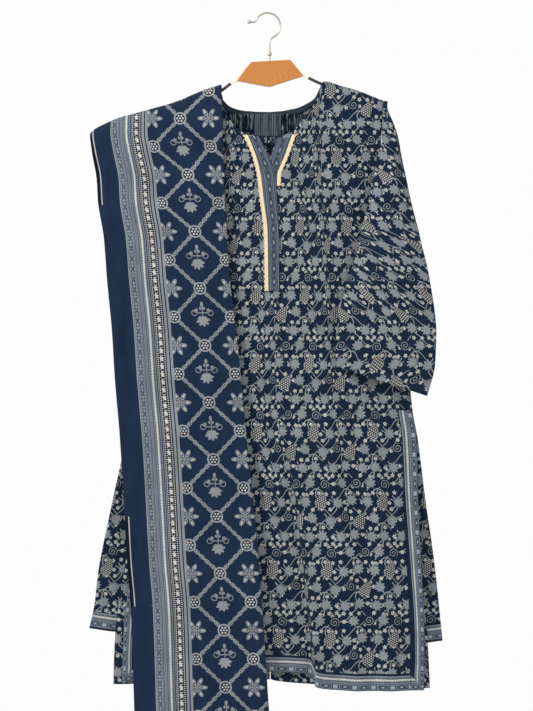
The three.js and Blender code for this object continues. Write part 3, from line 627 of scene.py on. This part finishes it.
    # White sprigs and dots on a dark band.
    shade.paint(s.between(36.0, 53.6), srgb(16, 28, 52))
    sprig, across = y.repeat(13.6), s - 44.8
    blade = oval(sprig + across * 0.45, across - sprig * 0.3, 5.0, 3.1)
    notch = (sprig * 1.5).of("SINE") * 0.25 + blade
    speck = distance((s - 36.9).repeat(4.0), y.repeat(3.4)).soft(1.05, 0.4) & (blade > 1.35)
    shade.paint((notch.soft(1.0, 0.15) | speck) & s.between(37.2, 52.6), SCARF_WHITE)
    shade.paint((s - 36.2).abs.soft(0.6, 0.4), SCARF_GREY)
    for at in (55.0, 57.2, 61.4, 63.6):
        shade.paint((s - at).abs.soft(1.0, 0.4), SCARF_GREY)
    # Where the layer behind shows past the edge, its white selvedge does too.
    shows = y.between(205.0, 338.0) | y.between(880.0, 1036.0)
    shade.paint((x < 5.0) & shows, NAVY_DARK)
    shade.paint((x - 5.6).abs.soft(0.9, 0.5) & shows, srgb(196, 196, 188))
    return cloth_finish(shade, u, v)


def plain_cloth(name, ground):
    shade = Shade(name, ground)
    u, v = shade.uv()
    return cloth_finish(shade, u, v)


def gathered_print_painted_shade():
    """The print as it shows when gathered tightly, with grey stripes in the middle, on a ground darkened by
    painted shade of the deep gathers.
    """
    # The dark navy ground is painted shade of the deep gathers, darker than the print's own navy.
    shade = Shade("gathered_print_painted_shade", NAVY_DARK)
    u, v = shade.uv()
    x = u * 1000.0
    streak = shade.noise(u, v * 0.12, 150.0, 3.0, 4.0) + shade.noise(u, v * 0.6, 110.0, 2.0, 6.0)
    motif = (streak * -1.0).soft(-1.06, 0.05)
    shade.paint(motif, srgb(112, 120, 124))
    stripes = ((x * (1 / 9.0)).fract > 0.45) & (x.abs < 62.0)
    shade.paint((x.abs < 66.0), srgb(34, 46, 62))
    shade.paint(stripes, srgb(98, 107, 115))
    return cloth_finish(shade, u, v)


def lace_cloth():
    shade = Shade("lace_cotton", LACE_CREAM)
    u, v = shade.uv()
    x, y = u * 1000.0, v * 1000.0
    ring = distance(x.repeat(8.8), y - 2.0)
    shade.paint(ring.soft(1.0, 0.4), srgb(150, 138, 122))
    shade.paint((y + 2.6).abs.soft(0.35, 0.4), srgb(214, 196, 164))
    shade.put(shade.surface.inputs["Base Color"], shade.colour)
    cord = (ring - 1.9).abs.soft(0.5, 0.5)
    shade.bump(cord + (x * 9.0).of("SINE") * 0.2, 0.6, 0.0006)
    return shade.material


def wood():
    shade = Shade("varnished_wood", srgb(184, 117, 40), 0.35)
    place = shade.node("ShaderNodeTexCoord").outputs["Object"]
    parts = shade.node("ShaderNodeSeparateXYZ")
    shade.put(parts.inputs[0], place)
    x, y, z = (Number(shade, parts.outputs[k]) for k in range(3))
    sway = shade.noise(x, z, 16.0, 2.0) * 0.018
    out = distance(x + 0.034, (z + 0.118) * 2.1) + x * 0.25 + sway
    rings = ((out * 95.0).fract - 0.5).abs.soft(0.06, 0.08)
    fine = shade.noise(x * 0.8, z * 8.0, 150.0, 3.0, 5.0)
    shade.paint(fine, srgb(171, 102, 30))
    shade.paint(rings * 0.6, srgb(134, 72, 18))
    shade.put(shade.surface.inputs["Base Color"], shade.colour)
    shade.bump(fine + rings * 0.3, 0.1, 0.0003)
    shade.surface.inputs["Coat Weight"].default_value = 0.35
    shade.surface.inputs["Coat Roughness"].default_value = 0.2
    return shade.material


def hard(name, colour, roughness, metallic=0.0, wear=0.12):
    shade = Shade(name, colour, roughness)
    place = shade.node("ShaderNodeTexCoord").outputs["Object"]
    made = shade.node("ShaderNodeTexNoise")
    shade.put(made.inputs["Vector"], place)
    made.inputs["Scale"].default_value = 220.0
    grain = Number(shade, made.outputs["Fac"])
    worn = shade.scale(colour, grain * (2 * wear) + (1 - wear))
    shade.put(shade.surface.inputs["Base Color"], worn)
    shade.put(shade.surface.inputs["Roughness"], grain * 0.2 + (roughness - 0.1))
    shade.surface.inputs["Metallic"].default_value = metallic
    shade.bump(grain, 0.08, 0.0003)
    return shade.material


VINE, EDGE, BAND, SCARF = vine_print(), border_print(), band_print(), scarf_print()
LACE_MATERIAL, GATHERED_SHADED = lace_cloth(), gathered_print_painted_shade()
FACING = plain_cloth("grey_facing", srgb(56, 68, 82))


# ---- Cloth shells ----


def shell(name, points, flat, material, slot, replaced, thick=0.7, ring=False):
    """A sheet from a grid of points in millimetres, with its place on the flat cloth, in metres, as its UV map."""
    rows, columns = points.shape[:2]
    verts = points.reshape(-1, 3) * MM
    i, j = np.meshgrid(np.arange(rows - 1), np.arange(columns if ring else columns - 1), indexing="ij")
    after = (j + 1) % columns
    faces = np.stack([i * columns + j, i * columns + after, (i + 1) * columns + after, (i + 1) * columns + j], -1)
    mesh = bpy.data.meshes.new(name)
    mesh.from_pydata(verts.tolist(), [], faces.reshape(-1, 4).tolist())
    layer = mesh.uv_layers.new(name="cloth")
    wide = flat.shape[1]
    reach = (j + 1) if ring else after
    corners = np.stack([i * wide + j, i * wide + reach, (i + 1) * wide + reach, (i + 1) * wide + j], -1)
    layer.uv.foreach_set("vector", flat.reshape(-1, 2)[corners.reshape(-1)].reshape(-1).astype(np.float32))
    mesh.polygons.foreach_set("use_smooth", [True] * len(mesh.polygons))
    mesh.materials.append(material)
    piece = bpy.data.objects.new(name, mesh)
    bpy.context.scene.collection.objects.link(piece)
    wall = piece.modifiers.new("wall", "SOLIDIFY")
    wall.thickness = thick * MM
    wall.offset = 0
    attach(piece, "root")
    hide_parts(*replaced)
    return piece


def unrolled(points, origin=0, start=0.0, down=None):
    """Flat coordinates: the way along each row from the origin column, and the drop."""
    steps = np.linalg.norm(np.diff(points, axis=1), axis=2)
    along = np.concatenate([np.zeros((len(points), 1)), np.cumsum(steps, axis=1)], axis=1)
    along = along - along[:, origin : origin + 1] + start
    drops = -points[..., 2] if down is None else np.broadcast_to(down, along.shape)
    return np.stack([along, drops], -1) * MM


def spread(knots, step):
    """All the knots, with even steps no longer than that between them."""
    parts = [np.linspace(a, b, max(1, math.ceil((b - a) / step)) + 1)[:-1] for a, b in zip(knots, knots[1:])]
    return np.concatenate(parts + [[knots[-1]]])


TOP_STEPS = np.array([0, 1, 2.5, 5, 8, 12, 18, 28, 40, 55])


def panel(tops, hems, x, y):
    shares = spread([row[0] for row in tops], 0.0075)
    neck = (shares > 0.40) & (shares < 0.60)
    top = np.where(neck, np.interp(shares, *np.array(tops).T), read(tops, shares))
    hem = read(hems, shares)
    body = spread([0, 1], 0.0062)[1:]
    foot = np.linspace(0, 1, 7)[1:]
    drops = [top + step for step in TOP_STEPS]
    drops += [mix(top + 55, hem - BORDER, t) for t in body]
    drops += [hem - BORDER * (1 - t) for t in foot]
    drop = np.array(drops)
    share = np.broadcast_to(shares, drop.shape)
    points = np.stack([x(share, drop), y(share, drop, drop - top), -drop], -1)
    return shares, points


def lifted(points, height, side):
    """The points moved out along the cloth's normals."""
    u, v = np.gradient(points, axis=1), np.gradient(points, axis=0)
    normal = np.cross(u, v)
    normal /= np.maximum(np.linalg.norm(normal, axis=2, keepdims=True), 1e-9)
    return points + side * height * normal


front_shares, front = panel(FRONT_TOP, FRONT_HEM, front_x, front_y)
back_shares, back = panel(BACK_TOP, BACK_HEM, back_x, back_y)
centre = int(np.argmin(np.abs(front_shares - 0.5)))
front_flat = unrolled(front, centre)
kameez_front = shell("kameez_front_cloth", front, front_flat, VINE, "kameez_cloth", ["kameez_front"])
centre_back = int(np.argmin(np.abs(back_shares - 0.5)))
back_flat = unrolled(back, centre_back, 17.0)
kameez_back = shell("kameez_back_cloth", back, back_flat, VINE, "kameez_cloth", ["kameez_back"])

OUT = 1.0
front_out = lifted(front, OUT, -1)
back_out = lifted(back, OUT, 1)

# Hem and slit borders come from the panel's own rows and columns, and meet in a mitre.
first = int(np.argmin(np.abs(front_shares - SLIT_SHARE)))
last = int(np.argmin(np.abs(front_shares - (1 - SLIT_SHARE))))
hem_rows = front_out[-7:]


def hem_flat(points):
    along = unrolled(points[-1:])[..., 0]
    across = np.linspace(BORDER, 0, len(points))[:, None] * MM
    return np.stack(np.broadcast_arrays(along, across), -1)


def mitre_hem(points, left, right):
    """Draws the hem border's ends in along the corners' diagonals."""
    made = points.copy()
    rows = len(points)
    for k in range(rows):
        t = 1 - k / (rows - 1)
        for side, inner in ((0, left), (-1, right)):
            columns = range(0, inner + 1) if side == 0 else range(inner, points.shape[1])
            low, high = points[k, side].copy(), points[k, inner].copy()
            start = mix(low, high, t)
            count = max(1, len(columns) - 1)
            for n, c in enumerate(columns):
                share = n / count
                made[k, c] = mix(start, high, share) if side == 0 else mix(high, start, share)
    return made


hem_mitred = mitre_hem(hem_rows, first, last)
front_hem = shell(
    "front_hem_border_cloth", hem_mitred, hem_flat(hem_mitred), EDGE, "trim_cloth", ["front_hem_border"], 0.6
)

slit_row = int(np.argmin(np.abs(-front[:, -1, 2] - SLIT_TOP)))
for name, node, columns, outer in (
    ("front_slit_border_left_cloth", "front_slit_border_left", slice(0, first + 1), 0),
    ("front_slit_border_right_cloth", "front_slit_border_right", slice(last, len(front_shares)), -1),
):
    grid = front_out[slit_row:, columns].copy()
    width = grid.shape[1]
    for n in range(width):
        inward = n / (width - 1) if outer == 0 else 1 - n / (width - 1)
        # Each column ends where the corner's diagonal crosses it.
        foot = np.linspace(0, len(grid) - 1 - 6 * inward, len(grid))
        k = np.minimum(foot.astype(int), len(grid) - 2)
        part = (foot - k)[:, None]
        grid[:, n] = mix(grid[k, n], grid[k + 1, n], part)
    steps = np.linalg.norm(np.diff(grid, axis=1), axis=2)
    across = np.concatenate([np.zeros((len(grid), 1)), np.cumsum(steps, axis=1)], axis=1)
    if outer == -1:
        across = across[:, -1:] - across
    flat = np.stack([-grid[..., 2], across], -1) * MM
    shell(name, grid, flat, EDGE, "trim_cloth", [node], 0.6)

# The back's border is folded round the hem, with a little plain cloth left inside its edge.
back_in = lifted(back, -OUT, 1)[-7:][::-1]
inner_flat = hem_flat(back_in[::-1])[::-1] - [0, 0.003]
back_hem = shell(
    "back_hem_border_cloth", np.concatenate([back_out[-7:], back_in]),
    np.concatenate([hem_flat(back_out[-7:]), inner_flat]), EDGE, "trim_cloth", ["back_hem_border"], 0.6,
)
neck_columns = (back_shares > NECK_LEFT + 0.006) & (back_shares < NECK_RIGHT - 0.006)
facing_grid = lifted(back, -OUT, 1)[0:6][:, neck_columns]
facing_flat = unrolled(facing_grid)
facing = shell(
    "back_neck_facing_cloth", facing_grid, facing_flat, FACING, "trim_cloth", ["back_neck_facing"], 0.6
)

# ---- Placket bands and laces ----

BAND_LEFT = [
    (217, -33, -15.5), (240, -23.6, -4), (256, -18, 3.2), (289, -10.5, 14.2), (323, -6.5, 16.5),
    (389, 1, 20.4), (487, 2.3, 21),
]
BAND_RIGHT = [(219.5, 18.5, 40.5), (240, 11, 33.4), (255, 5.5, 27.8), (271, 10.4, 21), (283, 13.7, 16.6)]
LACE_LEFT = [(214.5, -41.8, -34.6)] + [(d, left - LACE + 0.6, left - 0.6) for d, left, _ in BAND_LEFT[1:]]
LACE_RIGHT = [(214, 43.2, 49.6)]
LACE_RIGHT += [(d, right + 0.6, right - 0.6 + LACE) for d, _, right in BAND_RIGHT]
LACE_RIGHT += [(304, 16.6, 21.6)]


def strip(name, table, material, slot, lift, outer=0, scallop=0.0):
    drops = spread([table[0][0], table[-1][0]], 1.1)
    left, right = read(table, drops, 1), read(table, drops, 2)
    wave = scallop * np.abs(np.sin(drops * math.pi / 8.8))
    if outer < 0:
        left = left - wave
    elif outer > 0:
        right = right + wave
    t = np.linspace(0, 1, 9)
    x = mix(left[:, None], right[:, None], t[None])
    drop = np.broadcast_to(drops[:, None], x.shape)
    low, high = read(FRONT_LEFT, drops)[:, None], read(FRONT_RIGHT, drops)[:, None]
    share = (x - low) / (high - low)
    y = front_y(share, drop) - lift
    points = np.stack([x, y, -drop], -1)
    across = x - (left + right)[:, None] / 2
    if outer < 0:
        across = -across
    return shell(name + "_cloth", points, np.stack([drop, across], -1) * MM, material, slot, [name], 0.6)


band_left = strip("placket_band_left", BAND_LEFT, BAND, "trim_cloth", 1.5)
band_right = strip("placket_band_right", BAND_RIGHT, BAND, "trim_cloth", 1.2)
lace_left = strip("lace_left", LACE_LEFT, LACE_MATERIAL, "lace", 1.2, -1, 2.0)
lace_right = strip("lace_right", LACE_RIGHT, LACE_MATERIAL, "lace", 1.1, 1, 2.0)

# ---- Sleeves ----

# drop, seam x, seam front, seam back, inner fold x, outer fold x, front, back
SLEEVE_RIGHT = [
    (153, 202.9, 0.9, -0.9, 203.6, 205.6, 1.6, -1.6), (158, 202.8, 6, -6, 203.4, 208, 6.6, -6.6),
    (172, 202.2, 8, -8, 203.6, 212.5, 11, -9), (195, 201.3, 9, -8.6, 204, 222, 16, -10),
    (220, 201.8, 11, -10, 202.4, 229.5, 20, -10), (250, 201.3, 12.4, -10.4, 193, 234.5, 26, -9),
    (290, 201.8, 11.8, -8.8, 184, 242.5, 32, -6), (330, 207.5, 9.4, -6.6, 177, 250.5, 36, -2),
    (362, 217, 4.6, -2.4, 169, 258, 38, 4), (382, 211.5, 15, 13.4, 164, 263, 39, 13),
    (402, 186, 21, 20.2, 159, 267, 40, 22), (440, 169, 26.4, 25.6, 151, 277, 42, 26),
    (475, 159, 28.4, 27.6, 141, 284, 42, 28), (505, 151, 28.4, 27.6, 135, 289.5, 42, 28),
    (538, 142, 28.4, 27.6, 124, 293, 42, 28), (590, 136, 28.8, 28, 120, 291, 41, 28.4),
    (645, 133, 29.4, 28.6, 119, 277, 40, 29),
]
SLEEVE_LEFT = [
    (171, -193.9, 0.9, -0.9, -194.6, -196.6, 1.6, -1.6), (176, -193.8, 6, -6, -194.4, -199, 6.6, -6.6),
    (190, -193.3, 8, -8, -194.6, -204, 10, -9), (215, -194.1, 11, -10, -195, -213, 14, -9),
    (245, -192.7, 12.4, -10.4, -190, -220, 18, -8), (285, -192.6, 11.8, -8.8, -182, -227, 22, -6),
    (325, -195.2, 9.8, -7.4, -172, -233, 24, -2), (360, -202.8, 7.4, -4.4, -165, -238, 26, 2),
    (377, -208.4, 4.8, -2.4, -160, -240, 26, 6), (397, -202.5, 14.6, 13, -154, -242, 27, 14),
    (425, -178, 18, 17.2, -148, -244, 28, 18), (465, -160, 19.4, 18.6, -138, -245, 29, 19.4),
    (520, -138, 20.4, 19.6, -120, -246, 30, 20.4), (580, -116, 20.4, 19.6, -100, -246, 30, 20.4),
    (645, -102, 20.4, 19.6, -86, -245, 30, 20.4),
]
# Creases of the right sleeve's front, as for the panels
SLEEVE_CREASES = [
    (215, 200, 200, 420, 7, -1.6), (224, 230, 236, 520, 8, 1.5), (150, 455, 210, 500, 7, 1.6),
    (142, 490, 215, 530, 7, -1.8), (135, 520, 190, 560, 6, 1.3), (250, 470, 262, 620, 8, -1.4),
    (180, 560, 190, 640, 8, 1.4), (215, 560, 224, 650, 7, -1.3), (150, 570, 156, 622, 6, -1.1),
    (190, 330, 240, 450, 8, 1.4), (195, 260, 214, 340, 6, 1.2), (160, 410, 200, 440, 6, -1.3),
]


def through(before, start, end, after, t):
    """A point on the smooth curve from start to end, with the control points on either side."""
    straight = (end - before) * t
    bent = (2 * before - 5 * start + 4 * end - after) * t * t
    twisted = (3 * start - before - 3 * end + after) * t ** 3
    return 0.5 * (2 * start + straight + bent + twisted)


def sleeve(name, table, hem_tilt, wrinkles):
    table_drops = [row[0] for row in table]
    drops = spread(table_drops, 3.4)
    armpit, hem = table[8][0], table[-1][0]
    seam_x, seam_front, seam_back = (np.interp(drops, table_drops, [row[k] for row in table]) for k in (1, 2, 3))
    inner, outer, reach, behind = (read(table, drops, k) for k in (4, 5, 6, 7))
    sign = np.sign(outer[-1])
    width = outer - inner
    past = sign * np.maximum(sign * seam_x + 8, sign * (inner + 0.35 * width))
    controls = np.array([
        [seam_x, seam_front], [inner, mix(seam_front, reach, 0.55)], [inner + 0.26 * width, reach],
        [inner + 0.7 * width, reach], [outer, (reach + behind) / 2], [outer - 0.25 * width, behind],
        [past, mix(seam_back, behind, 0.5)], [seam_x, seam_back],
    ])
    spans, steps = len(controls) - 1, 12
    columns = []
    for k in range(spans):
        c = [controls[min(max(k + m, 0), spans)] for m in (-1, 0, 1, 2)]
        for n in range(steps + (k == spans - 1)):
            columns.append(through(*c, n / steps))
    grid = np.array(columns)
    x, reach_at = grid[:, 0].T, grid[:, 1].T
    tilt = hem_tilt * ease((drops - armpit) / (hem - armpit))
    drop = drops[:, None] + tilt[:, None] * sign * (x - ((inner + outer) / 2)[:, None])
    facing_front = ease((reach_at - ((reach + behind) / 2)[:, None]) / 6)
    edge = ease(np.minimum(np.abs(x - inner[:, None]), np.abs(x - outer[:, None])) / 16)
    reach_at = reach_at + creases(x, drop, wrinkles) * facing_front * edge
    points = np.stack([x, -reach_at, -drop], -1)
    if sign > 0:
        points = points[:, ::-1]
    return shell(name + "_cloth", points, unrolled(points, 0, 40.0), VINE, "kameez_cloth", [name])


sleeve_right = sleeve("sleeve_right", SLEEVE_RIGHT, 0.32, SLEEVE_CREASES)
sleeve_left = sleeve("sleeve_left", SLEEVE_LEFT, 0.1, [])

# ---- Salwar ----

WAIST_TOP, WAIST_FOOT, WAIST_HALF, WAIST_DEPTH = 176, 215.4, 67, 5
GATHERS, MIDDLE_Y, CROTCH = 28, 0.5, 610
LEGS = [
    (216, 68, -68, 0), (260, 95, -95, 0), (330, 138, -136, 0), (420, 156, -150, 0), (600, 190, -182, 1),
    (800, 232, -220, 2), (950, 262, -247, 3), (1100, 281, -268, 4), (1184, 285, -271, 5),
]
LEG_DEPTH, LEG_PLEAT = 5.5, 1.6

turn = np.linspace(-math.pi, math.pi, GATHERS * 12 + 1)[:-1]
level = np.linspace(0, 1, 24)[:, None]
deep = 1.5 + 0.5 * np.sin(turn * 3 + 1) + 0.4 * np.sin(level * 5)
wander = 0.25 * np.sin(level * 4 + turn * 2)
out = deep * np.cos(GATHERS * turn + 3 * wander)
for stitching, pull in ((0.28, 1.0), (0.8, 0.8)):
    out = out - pull * np.exp(-(((level - stitching) / 0.06) ** 2))
waist = np.stack([
    (WAIST_HALF + out) * np.sin(turn), MIDDLE_Y - (WAIST_DEPTH + out) * np.cos(turn),
    np.broadcast_to(-mix(WAIST_TOP, WAIST_FOOT, level), out.shape),
], -1)
ungathered = np.linspace(-0.55, 0.55, len(turn) + 1)[None]
waist_flat = np.stack(np.broadcast_arrays(ungathered, mix(WAIST_TOP, WAIST_FOOT, level) * MM), -1)
waistband = shell(
    "salwar_waistband_cloth", waist, waist_flat, GATHERED_SHADED, "kameez_cloth", ["salwar_waistband"], 0.6, ring=True
)


def leg(name, sign, hem_middle, hem_outer):
    u = np.linspace(0, 1, 121)[None]
    v = np.linspace(0, 1, 150)[:, None]
    hem = mix(hem_middle, hem_outer, np.sin(math.pi * u))
    drop = mix(WAIST_FOOT + 0.4, hem, v)
    outer = read(LEGS, drop, 1 if sign > 0 else 2)
    middle = read(LEGS, drop, 3) + sign * 0.9
    tube = ease((drop - CROTCH + 60) / 120)
    out = mix(np.sin(math.pi * u), (1 - np.cos(2 * math.pi * u)) / 2, tube)
    seam = mix(LEG_DEPTH, 0.9, tube) * np.cos(math.pi * u)
    belly = LEG_DEPTH * np.sin(2 * math.pi * u) * tube
    pleat = LEG_PLEAT * np.sin(math.pi * 10 * u + 0.4 * np.sin(drop / 90)) * np.sin(math.pi * u) ** 2
    points = np.stack([mix(middle, outer, out), MIDDLE_Y - seam - belly - pleat, -drop], -1)
    if sign > 0:
        points = points[:, ::-1]
    return shell(name + "_cloth", points, unrolled(points, 0, 60.0), VINE, "kameez_cloth", [name])


leg_right = leg("salwar_leg_right", 1, 1168, 1184)
leg_left = leg("salwar_leg_left", -1, 1168, 1177)

# ---- Dupatta ----

FALL = 1140
# drop, left edge, right edge
FALL_EDGES = [
    (126, -311, -81),
    (209, -311, -78),
    (240, -306.5, -76.7),
    (292, -296, -75),
    (332, -293.5, -73.5),
    (397, -283, -70.2),
    (467, -277.5, -65.2),
    (555, -269, -55),
    (642, -263.5, -46),
    (747, -254.5, -36),
    (877, -247, -22),
    (959, -242.5, -15),
    (1038, -236, -9),
    (1176, -231.5, 0),
    (1349, -226, 12),
]
# share across, drop of the top ridge
RIDGE = [
    (0, 209.3), (0.035, 202), (0.11, 193), (0.21, 183), (0.35, 174), (0.5, 164.4), (0.62, 156.6),
    (0.91, 130), (1, 124.2),
]
# distance below the ridge, then how far in front and how far behind
FALL_STAND = [
    (0, 0.3, 0.3), (1.5, 5.5, 5.5), (6, 12.5, 11), (14, 18.5, 14.5), (40, 24, 18), (100, 30, 19.5), (200, 34, 21),
    (330, 36.5, 23), (550, 36.5, 27), (800, 36.5, 31), (FALL, 35, 31),
]
SCARF_CREASES = [
    (-292, 240, -268, 480, 7, -2.2), (-276, 330, -258, 620, 8, 2.0), (-250, 560, -240, 900, 9, -1.8),
    (-232, 700, -222, 1180, 9, 1.6), (-180, 260, -150, 700, 11, 1.6), (-150, 380, -120, 820, 11, -1.5),
    (-110, 240, -92, 600, 9, 1.4), (-84, 500, -60, 900, 9, -1.5), (-60, 700, -34, 1150, 9, 1.6),
    (-130, 820, -100, 1200, 11, 1.5), (-190, 860, -176, 1240, 11, -1.5), (-238, 960, -120, 990, 6, 0.9),
    (-225, 1040, -70, 1052, 6, -0.9), (-160, 150, -150, 240, 9, -1.5), (-210, 175, -215, 300, 9, 1.6),
    (-238, 1036, -186, 1034, 3, -1.8),
]


def fall(sign, inset, ridge_gap, wrinkles, columns=90, step=6):
    share = np.linspace(0, 1, columns)[None]
    below = spread([0, 1.5, 3, 6, 10, 14, 24, 40, 70, 100, FALL], step)[:, None]
    drop = read(RIDGE, share) + below
    settled = ease(below / 60)
    left = read(FALL_EDGES, drop) + inset[0] * settled
    right = read(FALL_EDGES, drop, 2) + inset[1] * settled
    x = mix(left, right, share)
    ripple = 2 * np.sin(9 * share + drop / 260) * ease((below - 150) / 300)
    wrinkle = 1.4 * creases(x, drop, wrinkles) * ease((below - 12) / 40)
    stand = read(FALL_STAND, below, 1 if sign < 0 else 2) + ripple + wrinkle
    stand = stand + np.where(below == 0, ridge_gap, 0)
    points = np.stack([x, sign * stand, -drop * np.ones_like(x)], -1)
    flat = np.stack([x - left, drop * np.ones_like(x)], -1) * MM
    return points, flat


# The three layers inside: how far each one's left and right edges are moved
INNER_LAYERS = ((-1.6, -1.5), (0.8, -3.0), (-0.8, -2.0))
for side, sign, inset, wrinkles in (("front", -1, (0, 0), SCARF_CREASES), ("back", 1, (7, -4), [])):
    node = f"dupatta_{side}_fall"
    shell(node + "_cloth", *fall(sign, inset, 0, wrinkles), SCARF, "dupatta_cloth", [node], 0.5)
    for n, (left, right) in enumerate(INNER_LAYERS):
        inner, flat = fall(sign, (inset[0] + left, inset[1] + right), 1, wrinkles, columns=64, step=10)
        inner = lifted(inner, -(1.05 + 0.75 * n), sign)
        name, node = f"dupatta_{side}_layer_{n + 1}", f"dupatta_{side}_layers"
        shell(name, inner, flat, SCARF, "dupatta_cloth", [node], 0.4)

# ---- Hanger finishes ----

finishes = {
    "hanger_plate": wood(),
    "hanger_hook": hard("nickel_wire", srgb(176, 168, 158), 0.32, 0.9),
    "hook_collar": hard("nickel_ball", srgb(176, 168, 158), 0.3, 0.9),
    "hanger_arm_left": hard("cream_wire", srgb(225, 218, 200), 0.45),
    "hanger_arm_right": hard("cream_wire_right", srgb(225, 218, 200), 0.45),
    "arm_grip_left": hard("dark_rubber", srgb(45, 35, 27), 0.65),
    "arm_grip_right": hard("dark_rubber_right", srgb(45, 35, 27), 0.65),
}
for name, material in finishes.items():
    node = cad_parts[name]
    node.data.materials.clear()
    node.data.materials.append(material)

# ---- Floor, light and world ----

bpy.ops.mesh.primitive_circle_add(vertices=96, radius=1.8, fill_type="NGON", location=(0, 0, -1.62))
floor = bpy.context.object
floor.name = "floor"
pale = Shade("pale_floor", roughness=0.9)
pale.surface.inputs["Base Color"].default_value = srgb(236, 236, 234)
floor.data.materials.append(pale.material)

world = bpy.data.worlds.new("studio")
bpy.context.scene.world = world
world.use_nodes = True
world.node_tree.nodes["Background"].inputs[0].default_value = srgb(253, 253, 253)
world.node_tree.nodes["Background"].inputs[1].default_value = 1.0


def lamp(name, place, size, power, aim=(0, 0, -0.6)):
    light = bpy.data.lights.new(name, "AREA")
    light.size = size
    light.energy = power
    made = bpy.data.objects.new(name, light)
    bpy.context.scene.collection.objects.link(made)
    made.location = place
    away = np.array(place) - np.array(aim)
    tilt = math.atan2(math.hypot(away[0], away[1]), away[2])
    made.rotation_euler = (tilt, 0, math.atan2(away[1], away[0]) + math.pi / 2)


lamp("key", (-2.3, -1.9, 1.3), 0.55, 88)
lamp("fill", (2.4, -2.6, 0.0), 1.6, 8)
bpy.context.scene.view_settings.view_transform = "Standard"
bpy.context.scene.view_settings.look = "None"
